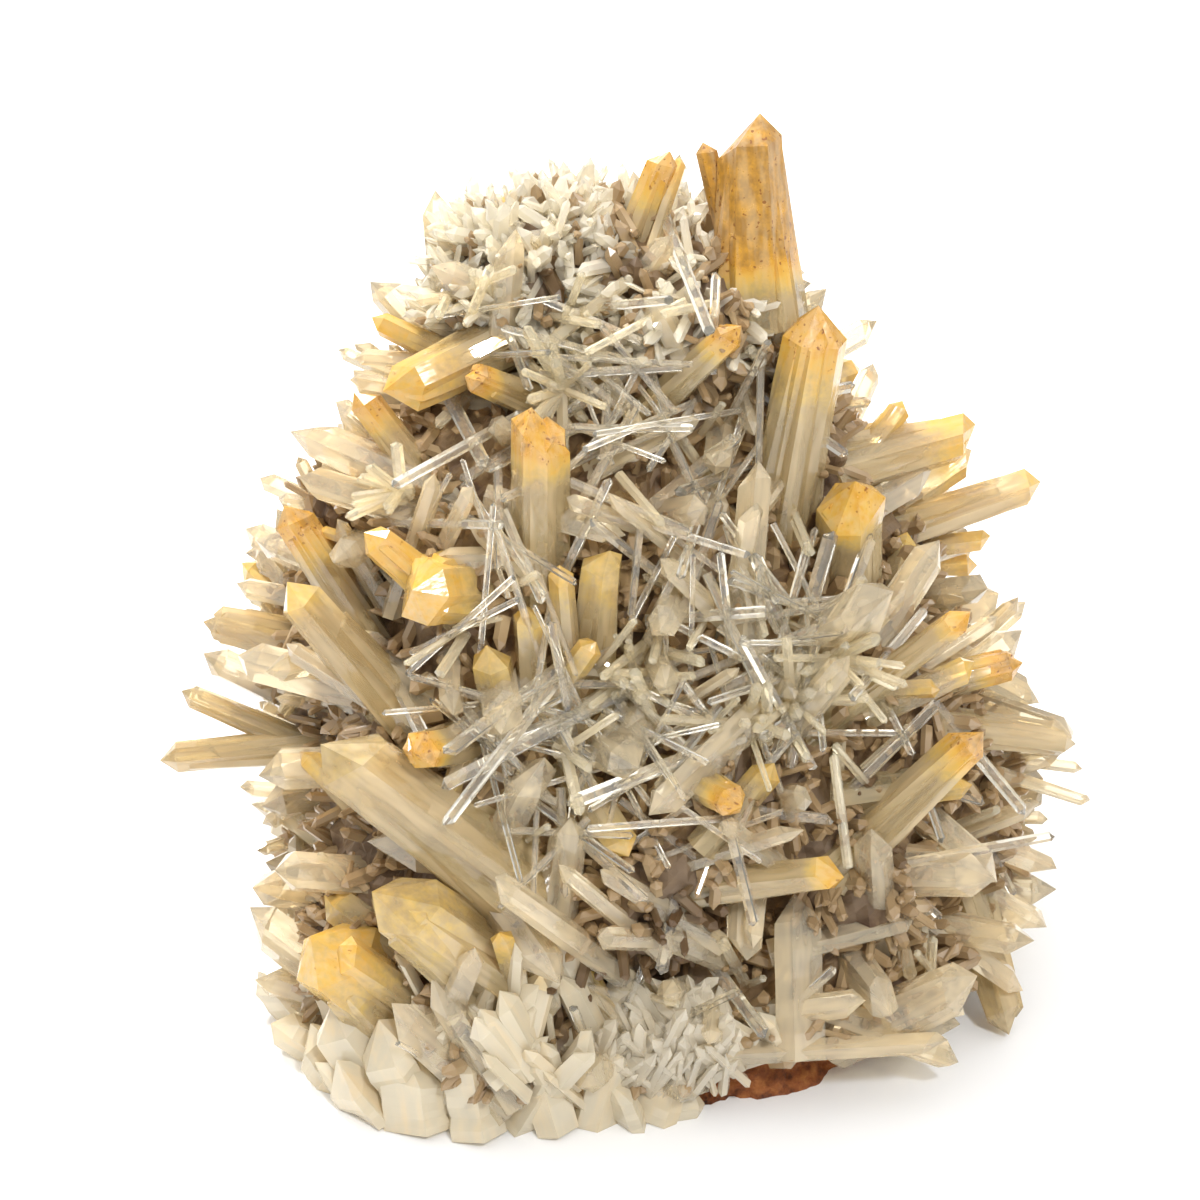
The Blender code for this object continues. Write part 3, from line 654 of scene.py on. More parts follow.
def axis_of(first, last, lean):
    """Root and tip in space of a crystal from its two pixels: it starts where the line of sight
    meets the ground, and its root goes on into the ground."""
    surface = ground_tree.ray_cast(EYE, sight(first))[0]
    depth = (surface - EYE).length / sight(first).length
    tip = leaning_tip(first, last, depth, lean)
    return np.array(surface - (tip - surface).normalized() * ROOT_DEPTH), np.array(tip)


def bundle(root, tip, width, taper, seed):
    """Thinner crystals grown along a large one. Each lies off its axis in a seeded direction, a
    little further at the root than at the tip, and ends short of it."""
    rng = np.random.default_rng(seed)
    axis = unit(tip - root)
    turn = rng.uniform(0, 2 * math.pi) + np.arange(BUNDLE) * 2 * math.pi / BUNDLE
    turn = turn + rng.uniform(-BUNDLE_TURN, BUNDLE_TURN, BUNDLE)
    side = unit(np.cross(axis, rng.normal(size=3)))
    beside = np.cos(turn)[:, None] * side + np.sin(turn)[:, None] * np.cross(axis, side)
    wide = rng.uniform(*BUNDLE_WIDTHS, BUNDLE) * width
    off = beside * (width - wide)[:, None] / 2
    end = root + (tip - root) * rng.uniform(*BUNDLE_ENDS, BUNDLE)[:, None]
    return root + off * BUNDLE_OFF[0], end + off * BUNDLE_OFF[1] * taper, wide


def arrays(axes):
    """Rows of root, tip and width as one array of each."""
    return tuple(np.array(values) for values in zip(*axes))


def chosen(group, kept):
    """The crystals of such arrays that are kept."""
    return tuple(values[kept] for values in group)


def stained(rise, start, full, strength):
    """The stain at each corner by its share of the way up: it rises smoothly from where the stain
    starts to where it is full."""
    amount = np.clip((rise - start) / (full - start), 0, 1)
    return amount * amount * (3 - 2 * amount) * strength


ground_tree = coarse_ground()
point_look = quartz_look("mango_quartz_look", *POINT_LOOK, large=True)
large = []  # root, tip and width in metres of every large crystal
for name, (stain, *rows) in POINTS.items():
    groups, stains = [], []
    for *first, tip_x, tip_y, lean, width, taper in rows:
        seed = len(large)
        root, tip = axis_of(first, (tip_x, tip_y), lean)
        width = width * MM
        large.append((root, tip, width))
        thick = np.array([width * MAIN_SHARE])
        main = crystals(root[None], tip[None], thick, seed, taper, **POINT_FORM)
        roots, tips, widths = bundle(root, tip, width, taper, seed)
        side = crystals(roots, tips, widths, seed, taper, **BUNDLE_FORM)
        short = np.linalg.norm(tips - roots, axis=1) / np.linalg.norm(tip - root)
        rise = side.rise * np.repeat(short, len(side.rise) // BUNDLE)
        groups += [main, side]
        stains += [stained(main.rise, *stain), stained(rise, *stain)]
    piece = crystal_piece(f"{name}_quartz", point_look, *groups, slot="mango_quartz", stains=stains)
    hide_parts(name)
named = arrays(large)

# The broad clear prisms and the small ones that stand out between those: clear quartz grown out of
# the ground in front. Each row has two pixels, where one starts and ends, and its width in pixels.
CLEAR_LOOK = ((0.95, 0.85, 0.64, 1), 0.76, 0.6, 0.04)
PRISMS = (
    (414, 548, 438, 474, 28), (567, 520, 626, 536, 25), (674, 552, 608, 496, 21),
    (738, 584, 754, 501, 22), (748, 571, 757, 460, 32), (400, 478, 292, 430, 44),
    (404, 510, 300, 478, 34), (430, 392, 350, 378, 20), (406, 722, 285, 645, 20),
    (310, 560, 255, 538, 36), (304, 600, 236, 586, 24), (380, 655, 352, 632, 46),
    (310, 960, 246, 912, 46), (304, 1010, 256, 976, 34), (440, 850, 366, 846, 56),
    (470, 1042, 430, 978, 44), (452, 1056, 390, 1004, 44), (450, 1012, 478, 944, 36),
    (508, 920, 556, 985, 46), (610, 965, 492, 880, 34), (665, 908, 600, 868, 24),
    (612, 912, 558, 867, 22), (690, 862, 805, 827, 27), (796, 976, 794, 892, 54),
    (848, 934, 913, 918, 28), (876, 892, 872, 828, 38), (902, 1022, 976, 978, 56),
    (806, 1048, 948, 1040, 34), (870, 1034, 958, 1060, 30), (520, 800, 540, 756, 50),
    (565, 866, 572, 816, 38), (700, 766, 648, 815, 36), (930, 548, 874, 570, 28),
    (980, 700, 1070, 735, 34), (940, 830, 1000, 880, 30), (1000, 640, 1040, 700, 30),
    (880, 500, 930, 470, 30), (900, 600, 940, 540, 30), (790, 470, 740, 540, 20),
)
SMALL_PRISMS = (
    (613, 380, 646, 440, 20), (450, 533, 472, 487, 22), (372, 430, 335, 402, 24),
    (430, 362, 355, 357, 18), (316, 699, 380, 718, 18), (300, 800, 239, 788, 22),
    (320, 790, 264, 826, 20), (300, 838, 256, 851, 15), (298, 882, 296, 836, 15),
    (318, 897, 262, 894, 15), (545, 982, 552, 1018, 30), (660, 940, 598, 938, 22),
    (698, 948, 664, 935, 26), (700, 600, 660, 560, 26), (1000, 770, 1090, 802, 14),
    (1010, 760, 1083, 768, 12), (930, 660, 998, 616, 18), (810, 1010, 866, 1002, 24),
    (900, 940, 912, 984, 16), (470, 560, 430, 560, 30), (640, 450, 700, 420, 22),
    (600, 1000, 566, 968, 22), (620, 520, 566, 500, 18), (506, 556, 470, 520, 18),
    (690, 700, 740, 668, 18), (860, 640, 906, 590, 22), (1010, 850, 1056, 870, 24),
    (1000, 900, 1046, 930, 26), (980, 960, 1024, 990, 30), (920, 470, 905, 420, 24),
    (760, 850, 720, 820, 24), (350, 480, 322, 452, 22), (360, 560, 336, 520, 20),
)
FRONT_FORM = dict(steps=0.03, irregular=0.25, flat=0.3)
LIFT = 2.5  # mm towards the camera, from the ground to where one starts
PRISM_SUNK = 10.0  # mm that it goes back from its start, into the ground
SMALL_SUNK = 7.0
LEAST_STAND = 0.34  # the least sine of the angle between a crystal and the ground under it
LEANS = range(-10, 50, 3)  # degrees out of the picture, tried in turn
FRONT = -49.0 * MM  # how far forward a tip may reach
INWARD = (640, 700)  # pixel towards which a start that misses the ground is moved
INWARD_STEPS = 41


def seen_axis(row, lift, sunk, stand):
    """Root, tip and width in metres of the crystal of one row. The line of sight through its first
    pixel is followed to the ground, from nearer to the middle if it misses, and stops a lift short
    of it. The crystal leans out until it stands off the ground, and goes back from its start until
    it is sunk in it."""
    first, last, width = row[:2], row[2:4], row[4]
    for share in np.linspace(0, 1, INWARD_STEPS):
        start = np.array(first) * (1 - share) + np.array(INWARD) * share
        surface, normal = ground_tree.ray_cast(EYE, sight(start))[:2]
        if surface is not None:
            break
    if normal.dot(sight(start)) > 0:
        normal = -normal
    depth = (surface - EYE).length / sight(start).length - lift
    begin = EYE + sight(start) * depth
    for lean in LEANS:
        trial = leaning_tip(start, last, depth, lean)
        if lean > LEANS[0] and trial.y < FRONT:
            break
        tip, heading = trial, (trial - begin).normalized()
        if heading.dot(normal) > stand:
            break
    return begin - heading * sunk, tip, width / PICTURE_FOCAL * depth


def seen_group(rows, lift, sunk, stand=LEAST_STAND):
    """Arrays of the roots, tips and widths of such crystals. Lift and sunk are in millimetres."""
    return arrays(seen_axis(row, lift * MM, sunk * MM, stand) for row in rows)


clear_look = quartz_look("clear_quartz_look", *CLEAR_LOOK)
seen_prisms = seen_group(PRISMS, LIFT, PRISM_SUNK)
seen_small = seen_group(SMALL_PRISMS, LIFT, SMALL_SUNK)
broad = crystals(*seen_prisms, seed=51, rings=6, **FRONT_FORM)
small = crystals(*seen_small, seed=55, rings=5, **FRONT_FORM)
crystal_piece("front_prisms", clear_look, broad, small)

# The needles that stand out in the picture: thin six-sided prisms of clear quartz, each grown at an
# angle of its own. Rows as above.
NEEDLES = (
    (674, 239, 711, 334, 11), (608, 306, 672, 300, 10), (484, 309, 561, 297, 6),
    (515, 351, 530, 392, 8), (495, 355, 551, 352, 6), (613, 383, 561, 416, 13),
    (515, 419, 392, 487, 12), (512, 450, 460, 481, 10), (458, 413, 487, 468, 14),
    (726, 474, 677, 493, 12), (686, 480, 741, 435, 14), (744, 389, 769, 340, 8),
    (659, 395, 674, 444, 8), (809, 429, 848, 456, 9), (714, 318, 716, 272, 10),
    (820, 392, 856, 386, 10), (403, 694, 426, 742, 13), (498, 701, 441, 742, 14),
    (569, 661, 444, 755, 12), (614, 697, 441, 788, 14), (564, 670, 444, 826, 12),
    (690, 757, 567, 805, 15), (658, 741, 632, 755, 8), (553, 729, 597, 761, 8),
    (547, 726, 576, 770, 8), (679, 873, 661, 975, 12), (726, 812, 755, 926, 10),
    (784, 814, 834, 820, 12), (605, 993, 567, 981, 10), (592, 1054, 572, 1006, 10),
    (446, 1069, 396, 1042, 6), (732, 991, 766, 1037, 13), (971, 748, 1026, 814, 12),
    (943, 791, 985, 803, 9), (924, 788, 943, 843, 8), (991, 852, 1014, 896, 8),
    (901, 864, 1055, 835, 10), (857, 733, 898, 733, 7), (895, 721, 913, 756, 7),
    (918, 896, 941, 919, 7), (703, 616, 770, 611, 11), (783, 629, 754, 552, 14),
    (812, 603, 833, 530, 16), (841, 616, 872, 533, 12), (778, 664, 808, 650, 14),
    (424, 523, 504, 525, 8), (226, 764, 302, 766, 14), (634, 990, 652, 950, 8),
    (600, 470, 640, 400, 10), (640, 560, 590, 520, 9), (700, 560, 720, 500, 10),
    (820, 700, 760, 740, 11), (900, 640, 850, 700, 9), (560, 470, 500, 500, 9),
    (880, 760, 940, 700, 10), (700, 1010, 742, 990, 9), (800, 1000, 836, 968, 9),
)
NEEDLE_LOOK = ((0.99, 0.955, 0.86, 1), 0.96, 0.3, 0.015)
NEEDLE_FORM = dict(taper=0.94, blunt=0.7)
NEEDLE_LIFT = 3.5  # mm
NEEDLE_SUNK = 7.0
needle_look = quartz_look("needle_look", *NEEDLE_LOOK, fine=True)
seen_needles = seen_group(NEEDLES, NEEDLE_LIFT, NEEDLE_SUNK)
crystal_piece("front_needles", needle_look, crystals(*seen_needles, seed=52, **NEEDLE_FORM))

# The short yellow points between the large ones: quartz stained at the tip as those are, grown out
# of the ground in front. Rows as above.
YELLOW_POINTS = (
    (598, 815, 628, 858, 36), (452, 790, 447, 806, 20), (530, 640, 528, 606, 34),
    (500, 690, 490, 646, 40), (566, 640, 560, 566, 26), (745, 800, 776, 764, 32),
    (340, 790, 302, 750, 26), (318, 830, 372, 872, 34), (880, 440, 905, 402, 24),
    (862, 450, 888, 420, 24), (940, 470, 972, 452, 34), (945, 530, 991, 538, 22),
    (930, 560, 978, 565, 28), (900, 560, 908, 532, 24), (890, 690, 940, 688, 20),
    (920, 690, 976, 664, 26), (900, 790, 972, 780, 36), (660, 225, 682, 158, 14),
    (516, 980, 500, 930, 26), (600, 990, 582, 962, 16), (560, 690, 596, 640, 26),
    (352, 540, 318, 530, 15), (350, 915, 324, 896, 38),
)
YELLOW_FORM = dict(rings=8, steps=0.03, blunt=0.75)
YELLOW_SUNK = 8.0  # mm
YELLOW_STAIN = (0.5, 1.0, 0.55)
seen_yellow = seen_group(YELLOW_POINTS, LIFT, YELLOW_SUNK)
group = crystals(*seen_yellow, seed=53, **YELLOW_FORM)
stain = stained(group.rise, *YELLOW_STAIN)
crystal_piece("front_yellow_points", point_look, group, slot="mango_quartz", stains=[stain])

# Along the foot the quartz is a milky crust of broad blocks. Each stands on the table where its
# foot is seen, leans outwards and ends in a blunt tip, and they have grown into a jagged wall. A row
# has the pixels of foot and tip, the lean in degrees and the width in pixels.
MILKY_LOOK = ((0.90, 0.81, 0.62, 1), 0.45, 0.7, 0.12)
BLOCKS = (
    (376, 1112, 334, 1064, 18, 52), (412, 1118, 402, 1040, 14, 66),
    (446, 1120, 470, 1066, 24, 46), (482, 1121, 466, 1030, 12, 68),
    (520, 1122, 552, 1072, 26, 44), (556, 1122, 534, 1050, 10, 62),
    (592, 1121, 612, 1044, 20, 54), (628, 1119, 612, 1078, 30, 42),
    (656, 1116, 676, 1056, 12, 48), (684, 1112, 690, 1086, 16, 28),
    (356, 1096, 318, 1060, 14, 44), (340, 1078, 304, 1026, 12, 48), (326, 1054, 272, 1022, 8, 40),
    (312, 1026, 262, 968, 4, 44), (424, 1104, 372, 1024, 32, 60), (486, 1106, 440, 1010, 30, 56),
    (524, 1104, 520, 1012, 26, 62), (572, 1104, 590, 1018, 30, 52),
    (612, 1100, 580, 1046, 34, 40), (648, 1098, 640, 1030, 24, 40),
    (392, 1088, 330, 1004, 22, 54), (362, 1056, 330, 966, 18, 50),
)
BLOCK_FORM = dict(taper=0.95, rings=7, steps=0.05, irregular=0.3, flat=0.3, blunt=0.7)
BLOCK_DEPTH = 0.6  # mm that each goes back from its foot


def block_axis(block):
    """Root, tip and width in metres of a block. Its foot is where the line of sight meets the
    table, and it goes back from there a little."""
    low, high, (lean, width) = block[:2], block[2:4], block[4:]
    depth = -EYE.z / sight(low).z
    tip = leaning_tip(low, high, depth, lean)
    foot = EYE + sight(low) * depth
    heading = (tip - foot).normalized()
    return foot - heading * BLOCK_DEPTH * MM, tip, width / PICTURE_FOCAL * depth


milky_look = quartz_look("milky_quartz_look", *MILKY_LOOK)
seen_blocks = arrays(map(block_axis, BLOCKS))
crystal_piece("front_crust", milky_look, crystals(*seen_blocks, seed=54, **BLOCK_FORM))

# The middle-sized crystals that cover the ground between those and all round the back: clear quartz,
# and at the back some that end in yellow. They were seeded on the ground side by side. Each belt
# reaches up to a height: how far apart they stand, their lengths, widths, and how far they stray.
Belt = namedtuple("Belt", "height spacing lengths widths stray")  # in mm, and a share
BELTS = (
    Belt(14, 11.0, (4, 7), (5.5, 9.0), 0.6),
    Belt(60, 11.0, (8, 15), (3.0, 6.4), 0.9),
    Belt(86, 9.4, (7, 12), (2.6, 5.0), 0.9),
    Belt(200, 7.0, (3, 6), (3.0, 4.8), 0.7),
)
FIELD_FORM = dict(taper=0.9, steps=0.03)
FIELD_YELLOW_STAIN = (0.6, 1.0, 0.75)
FIELD_STAND = 0.4  # the least sine of the angle between one and the ground under it
FIELD_LEAST_RISE = 0.05  # none heads further down than this upward share of its heading
FIELD_TOP_SHARE = 0.985  # of the way from rim to summit, where the field ends
FIELD_TRIALS = 4000
FIELD_SEED = 23
FIELD_CLEARANCE = 0.8 * MM  # between a crystal of the field and one that the picture shows
GAP_SAMPLES = 13  # points along each of two crystals that are compared
YELLOW_SHARE = 0.3  # of the thicker ones at the back
YELLOW_SEED = 61
YELLOW_WIDTH = 3.6 * MM  # above which one may be yellow
YELLOW_BACK = -8 * MM  # behind which one may be yellow


def field_axes(shown):
    """Roots, tips and widths of the crystals between the ones that the picture shows, spread
    evenly by keeping each trial that is far enough from those before it."""
    rng = np.random.default_rng(FIELD_SEED)
    steps = np.linspace(0, 1, GAP_SAMPLES)[:, None]
    others = shown[0][:, None] * (1 - steps) + shown[1][:, None] * steps
    kept, roots = [], np.empty((0, 3))
    for _ in range(FIELD_TRIALS):
        share, angle = rng.uniform(0, FIELD_TOP_SHARE, 1), rng.uniform(0, 2 * math.pi, 1)
        tilt, along, across = rng.normal(size=3), rng.uniform(), rng.uniform()
        root = ground(share, angle)[0]
        belt = next(belt for belt in BELTS if root[2] < belt.height * MM)
        if len(roots) and np.linalg.norm(roots - root, axis=1).min() < belt.spacing * MM:
            continue
        normal = ground_normal(share, angle)[0]
        heading = normal + tilt * belt.stray / 2
        heading[2] = max(heading[2], FIELD_LEAST_RISE)
        heading /= np.linalg.norm(heading)
        if heading @ normal < FIELD_STAND:
            continue
        width = np.interp(across, (0, 1), belt.widths) * MM
        tip = root + heading * np.interp(along, (0, 1), belt.lengths) * MM
        mine = root * (1 - steps) + tip * steps
        gap = np.linalg.norm(mine[:, None, None] - others[None], axis=-1).min(axis=(0, 2))
        if (gap - (width + shown[2]) / 2).min() < FIELD_CLEARANCE:
            continue
        roots = np.vstack([roots, root])
        kept.append((root, tip, width))
    return arrays(kept)


def joined(*groups):
    """Several groups of roots, tips and widths as one."""
    return tuple(np.concatenate(values) for values in zip(*groups))


root, tip, width = field_axes(joined(named, seen_prisms))
field = (root - unit(tip - root) * ROOT_DEPTH, tip, width)
lucky = np.random.default_rng(YELLOW_SEED).uniform(size=len(root)) < YELLOW_SHARE
yellow = (tip[:, 1] > YELLOW_BACK) & (width > YELLOW_WIDTH) & lucky
plain = crystals(*chosen(field, ~yellow), seed=62, rings=5, irregular=0.22, **FIELD_FORM)
crystal_piece("field_prisms", clear_look, plain)
group = crystals(*chosen(field, yellow), seed=63, rings=8, blunt=0.8, **FIELD_FORM)
stain = stained(group.rise, *FIELD_YELLOW_STAIN)
crystal_piece("field_yellow_points", point_look, group, slot="mango_quartz", stains=[stain])

# The smaller clear prisms that fill the gaps between all those: quartz again, grown on the ground
# some millimetres thick. They keep off what the picture shows, and leave the deep hollows free.
# A crowd's heights on the ground, lengths, widths, sink and perch are in millimetres.
CROWD_COLUMNS = "count seed low high lengths widths spread sink perch stand"
Crowd = namedtuple("Crowd", CROWD_COLUMNS, defaults=(2, 0, 0.3))
PRISM_CROWD = Crowd(520, 31, 6, 94, (6, 12), (2.2, 4.6), 0.7)
PRISM_FORM = dict(rings=5, steps=0.03, irregular=0.22, flat=0.3)
HOLLOWS = (  # pixel of the middle, and radius in pixels
    (500, 902, 34), (594, 984, 26), (548, 1002, 20), (690, 930, 44), (640, 975, 22), (548, 290, 20),
    (637, 269, 15), (482, 560, 16), (616, 462, 20), (560, 610, 14),
    (706, 520, 16), (654, 372, 16), (800, 560, 14), (470, 640, 18), (620, 780, 18), (696, 832, 22),
    (560, 905, 20), (860, 780, 18), (800, 940, 16), (905, 850, 16), (380, 760, 14), (740, 640, 14),
)
TRIALS = 60  # for each place that is asked for
CROWD_TOP_SHARE = 0.995  # of the way from rim to summit
LARGEST_AREA = 0.999  # share of the trials that have less area than one that is always kept
BEYOND_BOX = 1.5 * MM  # how far past the solids a crystal may reach
MARGIN = 0.1 * MM  # between it and the outer part of one that the picture shows
MARGIN_SAMPLES = ((0.1, 1, 7), (0.4, 1, 8))  # its own and the other's: shares of length, samples
OVERLAP = 0.7  # share of two half widths that counts as hiding
OVERLAP_SAMPLES = ((0.15, 1, 9), (0.35, 1, 12))
IN_FRONT = 0.5 * MM  # how far behind a sample one may lie and still count as in front


def scatter(count, seed, low, high):
    """Even random places on the ground between two heights in millimetres: trials are kept as
    often as the ground's area round them asks. Gives the points and the normals."""
    rng = np.random.default_rng(seed)
    trials = TRIALS * count
    share, angle = rng.uniform(0, CROWD_TOP_SHARE, trials), rng.uniform(0, 2 * math.pi, trials)
    chance = rng.uniform(0, 1, trials)
    here = ground(share, angle)
    rise = ground(np.minimum(share + SMALL_STEP, 1), angle) - here
    turn = ground(share, angle + SMALL_STEP) - here
    area = np.linalg.norm(np.cross(turn, rise), axis=1)
    inside = (here[:, 2] >= low * MM) & (here[:, 2] < high * MM)
    kept = np.flatnonzero(inside & (chance < area / np.quantile(area, LARGEST_AREA)))[:count]
    return here[kept], ground_normal(share, angle)[kept]


def grown(crowd):
    """Roots, tips and widths of a crowd of crystals, in metres. The heading is the normal plus a
    random part as large as the crowd's spread. Each sinks so deep into the ground, perches at most
    so high above it on other crystals, and its heading has at least that sine over the ground."""
    rng = np.random.default_rng(crowd.seed)
    here, normal = scatter(*crowd[:4])
    heading = unit(normal + crowd.spread * rng.normal(size=here.shape))
    here = here + normal * rng.uniform(0, crowd.perch, (len(here), 1)) * MM
    length = rng.uniform(*crowd.lengths, len(here)) * MM
    width = rng.uniform(*crowd.widths, len(here)) * MM
    root, tip = here - heading * crowd.sink * MM, here + heading * length[:, None]
    kept = ((heading * normal).sum(1) > crowd.stand) & inside_box(here, tip, width)
    return chosen((root, tip, width), kept)


def inside_box(root, tip, width):
    """True for crystals that stay above the table, and hardly reach past the solids' box."""
    low, high = np.array(cad_box[0]) - BEYOND_BOX, np.array(cad_box[1]) + BEYOND_BOX
    low[2] = 0.0
    half_width = width[:, None] * 0.5
    ends = np.stack([root, tip])
    return ((ends - half_width >= low) & (ends + half_width <= high)).all(axis=(0, 2))


def spans(root, tip, first, last, count):
    """Points evenly along the stretch of each crystal between two shares of its length."""
    share = np.linspace(first, last, count)[None, :, None]
    return root[:, None] * (1 - share) + tip[:, None] * share


def pixels(points):
    """Where points lie in the picture, and how far along the camera's axis."""
    away = points - np.array(EYE)
    depth = away @ np.array(FORWARD)
    up = away @ np.array(UPWARD)
    across = np.stack([away[..., 0], -up], -1) / depth[..., None] * PICTURE_FOCAL
    return across + PICTURE_MIDDLE, depth


def clear_of(others):
    """A test that is true for crystals that keep the margin to the outer part of the others."""
    def test(root, tip, width):
        mine = spans(root, tip, *MARGIN_SAMPLES[0])
        kept = np.ones(len(root), bool)
        theirs = spans(*others[:2], *MARGIN_SAMPLES[1])
        for points, wide in zip(theirs, others[2]):
            gap = np.linalg.norm(mine[:, :, None] - points[None, None], axis=-1).min(axis=(1, 2))
            kept &= gap > (width + wide) / 2 + MARGIN
        return kept

    return test


def behind(others):
    """A test that is true for crystals that don't hide the others from the camera: no sample along
    them lies in front of one of the others' samples and nearer to it in the picture than a share
    of their two half widths."""
    def test(root, tip, width):
        mine, depth = pixels(spans(root, tip, *OVERLAP_SAMPLES[0]))
        kept = np.ones(len(root), bool)
        theirs, their_depth = pixels(spans(*others[:2], *OVERLAP_SAMPLES[1]))
        for points, far, wide in zip(theirs, their_depth, others[2]):
            near = OVERLAP * ((width + wide) / 2 / far.mean() * PICTURE_FOCAL)
            gap = np.linalg.norm(mine[:, :, None] - points[None, None], axis=-1)
            in_front = depth[:, :, None] < far[None, None] + IN_FRONT
            kept &= ~((gap < near[:, None, None]) & in_front).any(axis=(1, 2))
        return kept

    return test


def out_of_hollows(root, tip, width):
    """True for crystals whose middle doesn't show inside one of the hollows."""
    spot = pixels((root + tip) / 2)[0]
    hollows = np.array(HOLLOWS, float)
    return (np.linalg.norm(spot[:, None] - hollows[:, :2], axis=-1) > hollows[:, 2]).all(axis=1)


def thinned(group, *tests):
    """The crystals that pass every test."""
    return chosen(group, np.logical_and.reduce([test(*group) for test in tests]))


thick_seen = joined(named, seen_prisms, seen_small, seen_yellow, seen_blocks)
all_seen = joined(named, seen_prisms, seen_small, seen_needles, seen_yellow, seen_blocks)
off_seen = (clear_of(thick_seen), behind(all_seen))
prisms = thinned(grown(PRISM_CROWD), *off_seen, out_of_hollows)
crystal_piece("clear_prisms", clear_look, crystals(*prisms, seed=41, **PRISM_FORM))

# The crowd of clear needles: quartz prisms about a millimetre thick, grown criss-cross between the
# larger crystals and on them.
NEEDLE_CROWD = Crowd(1750, 32, 12, 97, (6, 14), (0.7, 1.5), 1.7, perch=3.5, stand=0.1)
CROWD_LOOK = ((0.99, 0.92, 0.73, 1), 0.78, 0.5, 0.02)


def inside_outline(root, tip, width):
    """True for crystals whose tip has ground behind it or in front of it, seen from the camera, as
    the edge of the specimen is made of thick crystals."""
    hits = [ground_tree.ray_cast(EYE, Vector(place) - EYE)[0] for place in tip]
    return np.array([hit is not None for hit in hits])


crowd_look = quartz_look("needle_crowd_look", *CROWD_LOOK, fine=True)
needles = thinned(grown(NEEDLE_CROWD), *off_seen, out_of_hollows, inside_outline)
crystal_piece("clear_needles", crowd_look, crystals(*needles, seed=42, **NEEDLE_FORM))

# Short thick crystals of clear quartz along the edge of the specimen, grown side by side on the
# ground. Needles would stand out there like fur.
EDGE_CROWD = Crowd(1500, 38, 12, 97, (3, 7), (1.1, 2.4), 0.9)
edge = thinned(grown(EDGE_CROWD), *off_seen, lambda *group: ~inside_outline(*group))
crystal_piece("edge_crystals", clear_look, crystals(*edge, seed=49, irregular=0.22, flat=0.3))

# Long clear needles in front that lie across the others at all angles: quartz that has grown over
# the gaps from one crystal to the next.
CROSSING = 260  # trials
CROSSING_SEED = 39
CROSSING_MIDDLE = np.array((625, 590))  # pixels
CROSSING_REACH = np.array((225, 270))
CROSSING_LENGTHS = (45, 120)
CROSSING_WIDTHS = (5, 9.5)
CROSSING_STAND = (4.5, 5.0, 0.16)  # lift and sunk in mm, least stand
rng = np.random.default_rng(CROSSING_SEED)


def turns(turn):
    """Unit vectors in the picture at an angle from its x axis: cosine and sine."""
    return np.stack([np.cos(turn), np.sin(turn)], -1)


turn, far = rng.uniform(0, 2 * math.pi, CROSSING), np.sqrt(rng.uniform(0, 1, CROSSING))
start = CROSSING_MIDDLE + CROSSING_REACH * far[:, None] * turns(turn)
turn, far = rng.uniform(0, 2 * math.pi, CROSSING), rng.uniform(*CROSSING_LENGTHS, CROSSING)
end = start + far[:, None] * turns(turn)
rows = np.column_stack([start, end, rng.uniform(*CROSSING_WIDTHS, CROSSING)])
over = seen_group(rows, *CROSSING_STAND)
over = thinned(over, inside_outline, clear_of(named), behind(named))
crystal_piece("crossing_needles", needle_look, crystals(*over, seed=48, **NEEDLE_FORM))

# Groups of clear quartz needles that radiate from one shared root, grown at places read off the
# picture in front and at random ones at the back.
ROSETTES = (
    (516, 687), (635, 675), (738, 722), (783, 701), (534, 835), (580, 388), (760, 760), (430, 500),
    (690, 690), (560, 740), (600, 600), (820, 660), (470, 620),
)
ROSETTE_SEED = 36
BACK_ROSETTES = (110, ROSETTE_SEED, 25, 90)  # places all round, seed, lowest and highest in mm
ROSETTE_NEEDLES = 16
ROSETTE_HEIGHTS = (2, 6)  # mm of the shared root above the ground
ROSETTE_WIDTHS = (0.7, 1.5)  # mm
ROSETTE_LENGTHS = (4, 11)
ROSETTE_ROOT = 1.5 * MM  # that each goes back from the shared root
ROSETTE_OUTWARD = 0.45  # share of the ground's normal in a heading
rng = np.random.default_rng(ROSETTE_SEED)
centres, normals = scatter(*BACK_ROSETTES)
centres, normals = centres[normals[:, 1] > 0], normals[normals[:, 1] > 0]
listed = [ground_tree.ray_cast(EYE, sight(pixel))[:2] for pixel in ROSETTES]
centres = np.vstack([centres, [list(surface) for surface, _ in listed]])
normals = np.vstack([normals, [list(normal) for _, normal in listed]])
centres = centres + normals * rng.uniform(*ROSETTE_HEIGHTS, (len(centres), 1)) * MM
centre, normal = (np.repeat(values, ROSETTE_NEEDLES, axis=0) for values in (centres, normals))
heading = unit(normal * ROSETTE_OUTWARD + rng.normal(size=centre.shape))
heading *= np.where((heading * normal).sum(1) < 0, -1, 1)[:, None]
width = rng.uniform(*ROSETTE_WIDTHS, len(centre)) * MM
tip = centre + heading * rng.uniform(*ROSETTE_LENGTHS, (len(centre), 1)) * MM
stars = (centre - heading * ROSETTE_ROOT, tip, width)
stars = thinned(stars, inside_box)
stars = thinned(stars, inside_outline, clear_of(thick_seen))
crystal_piece("needle_rosettes", crowd_look, crystals(*stars, seed=46, **NEEDLE_FORM))
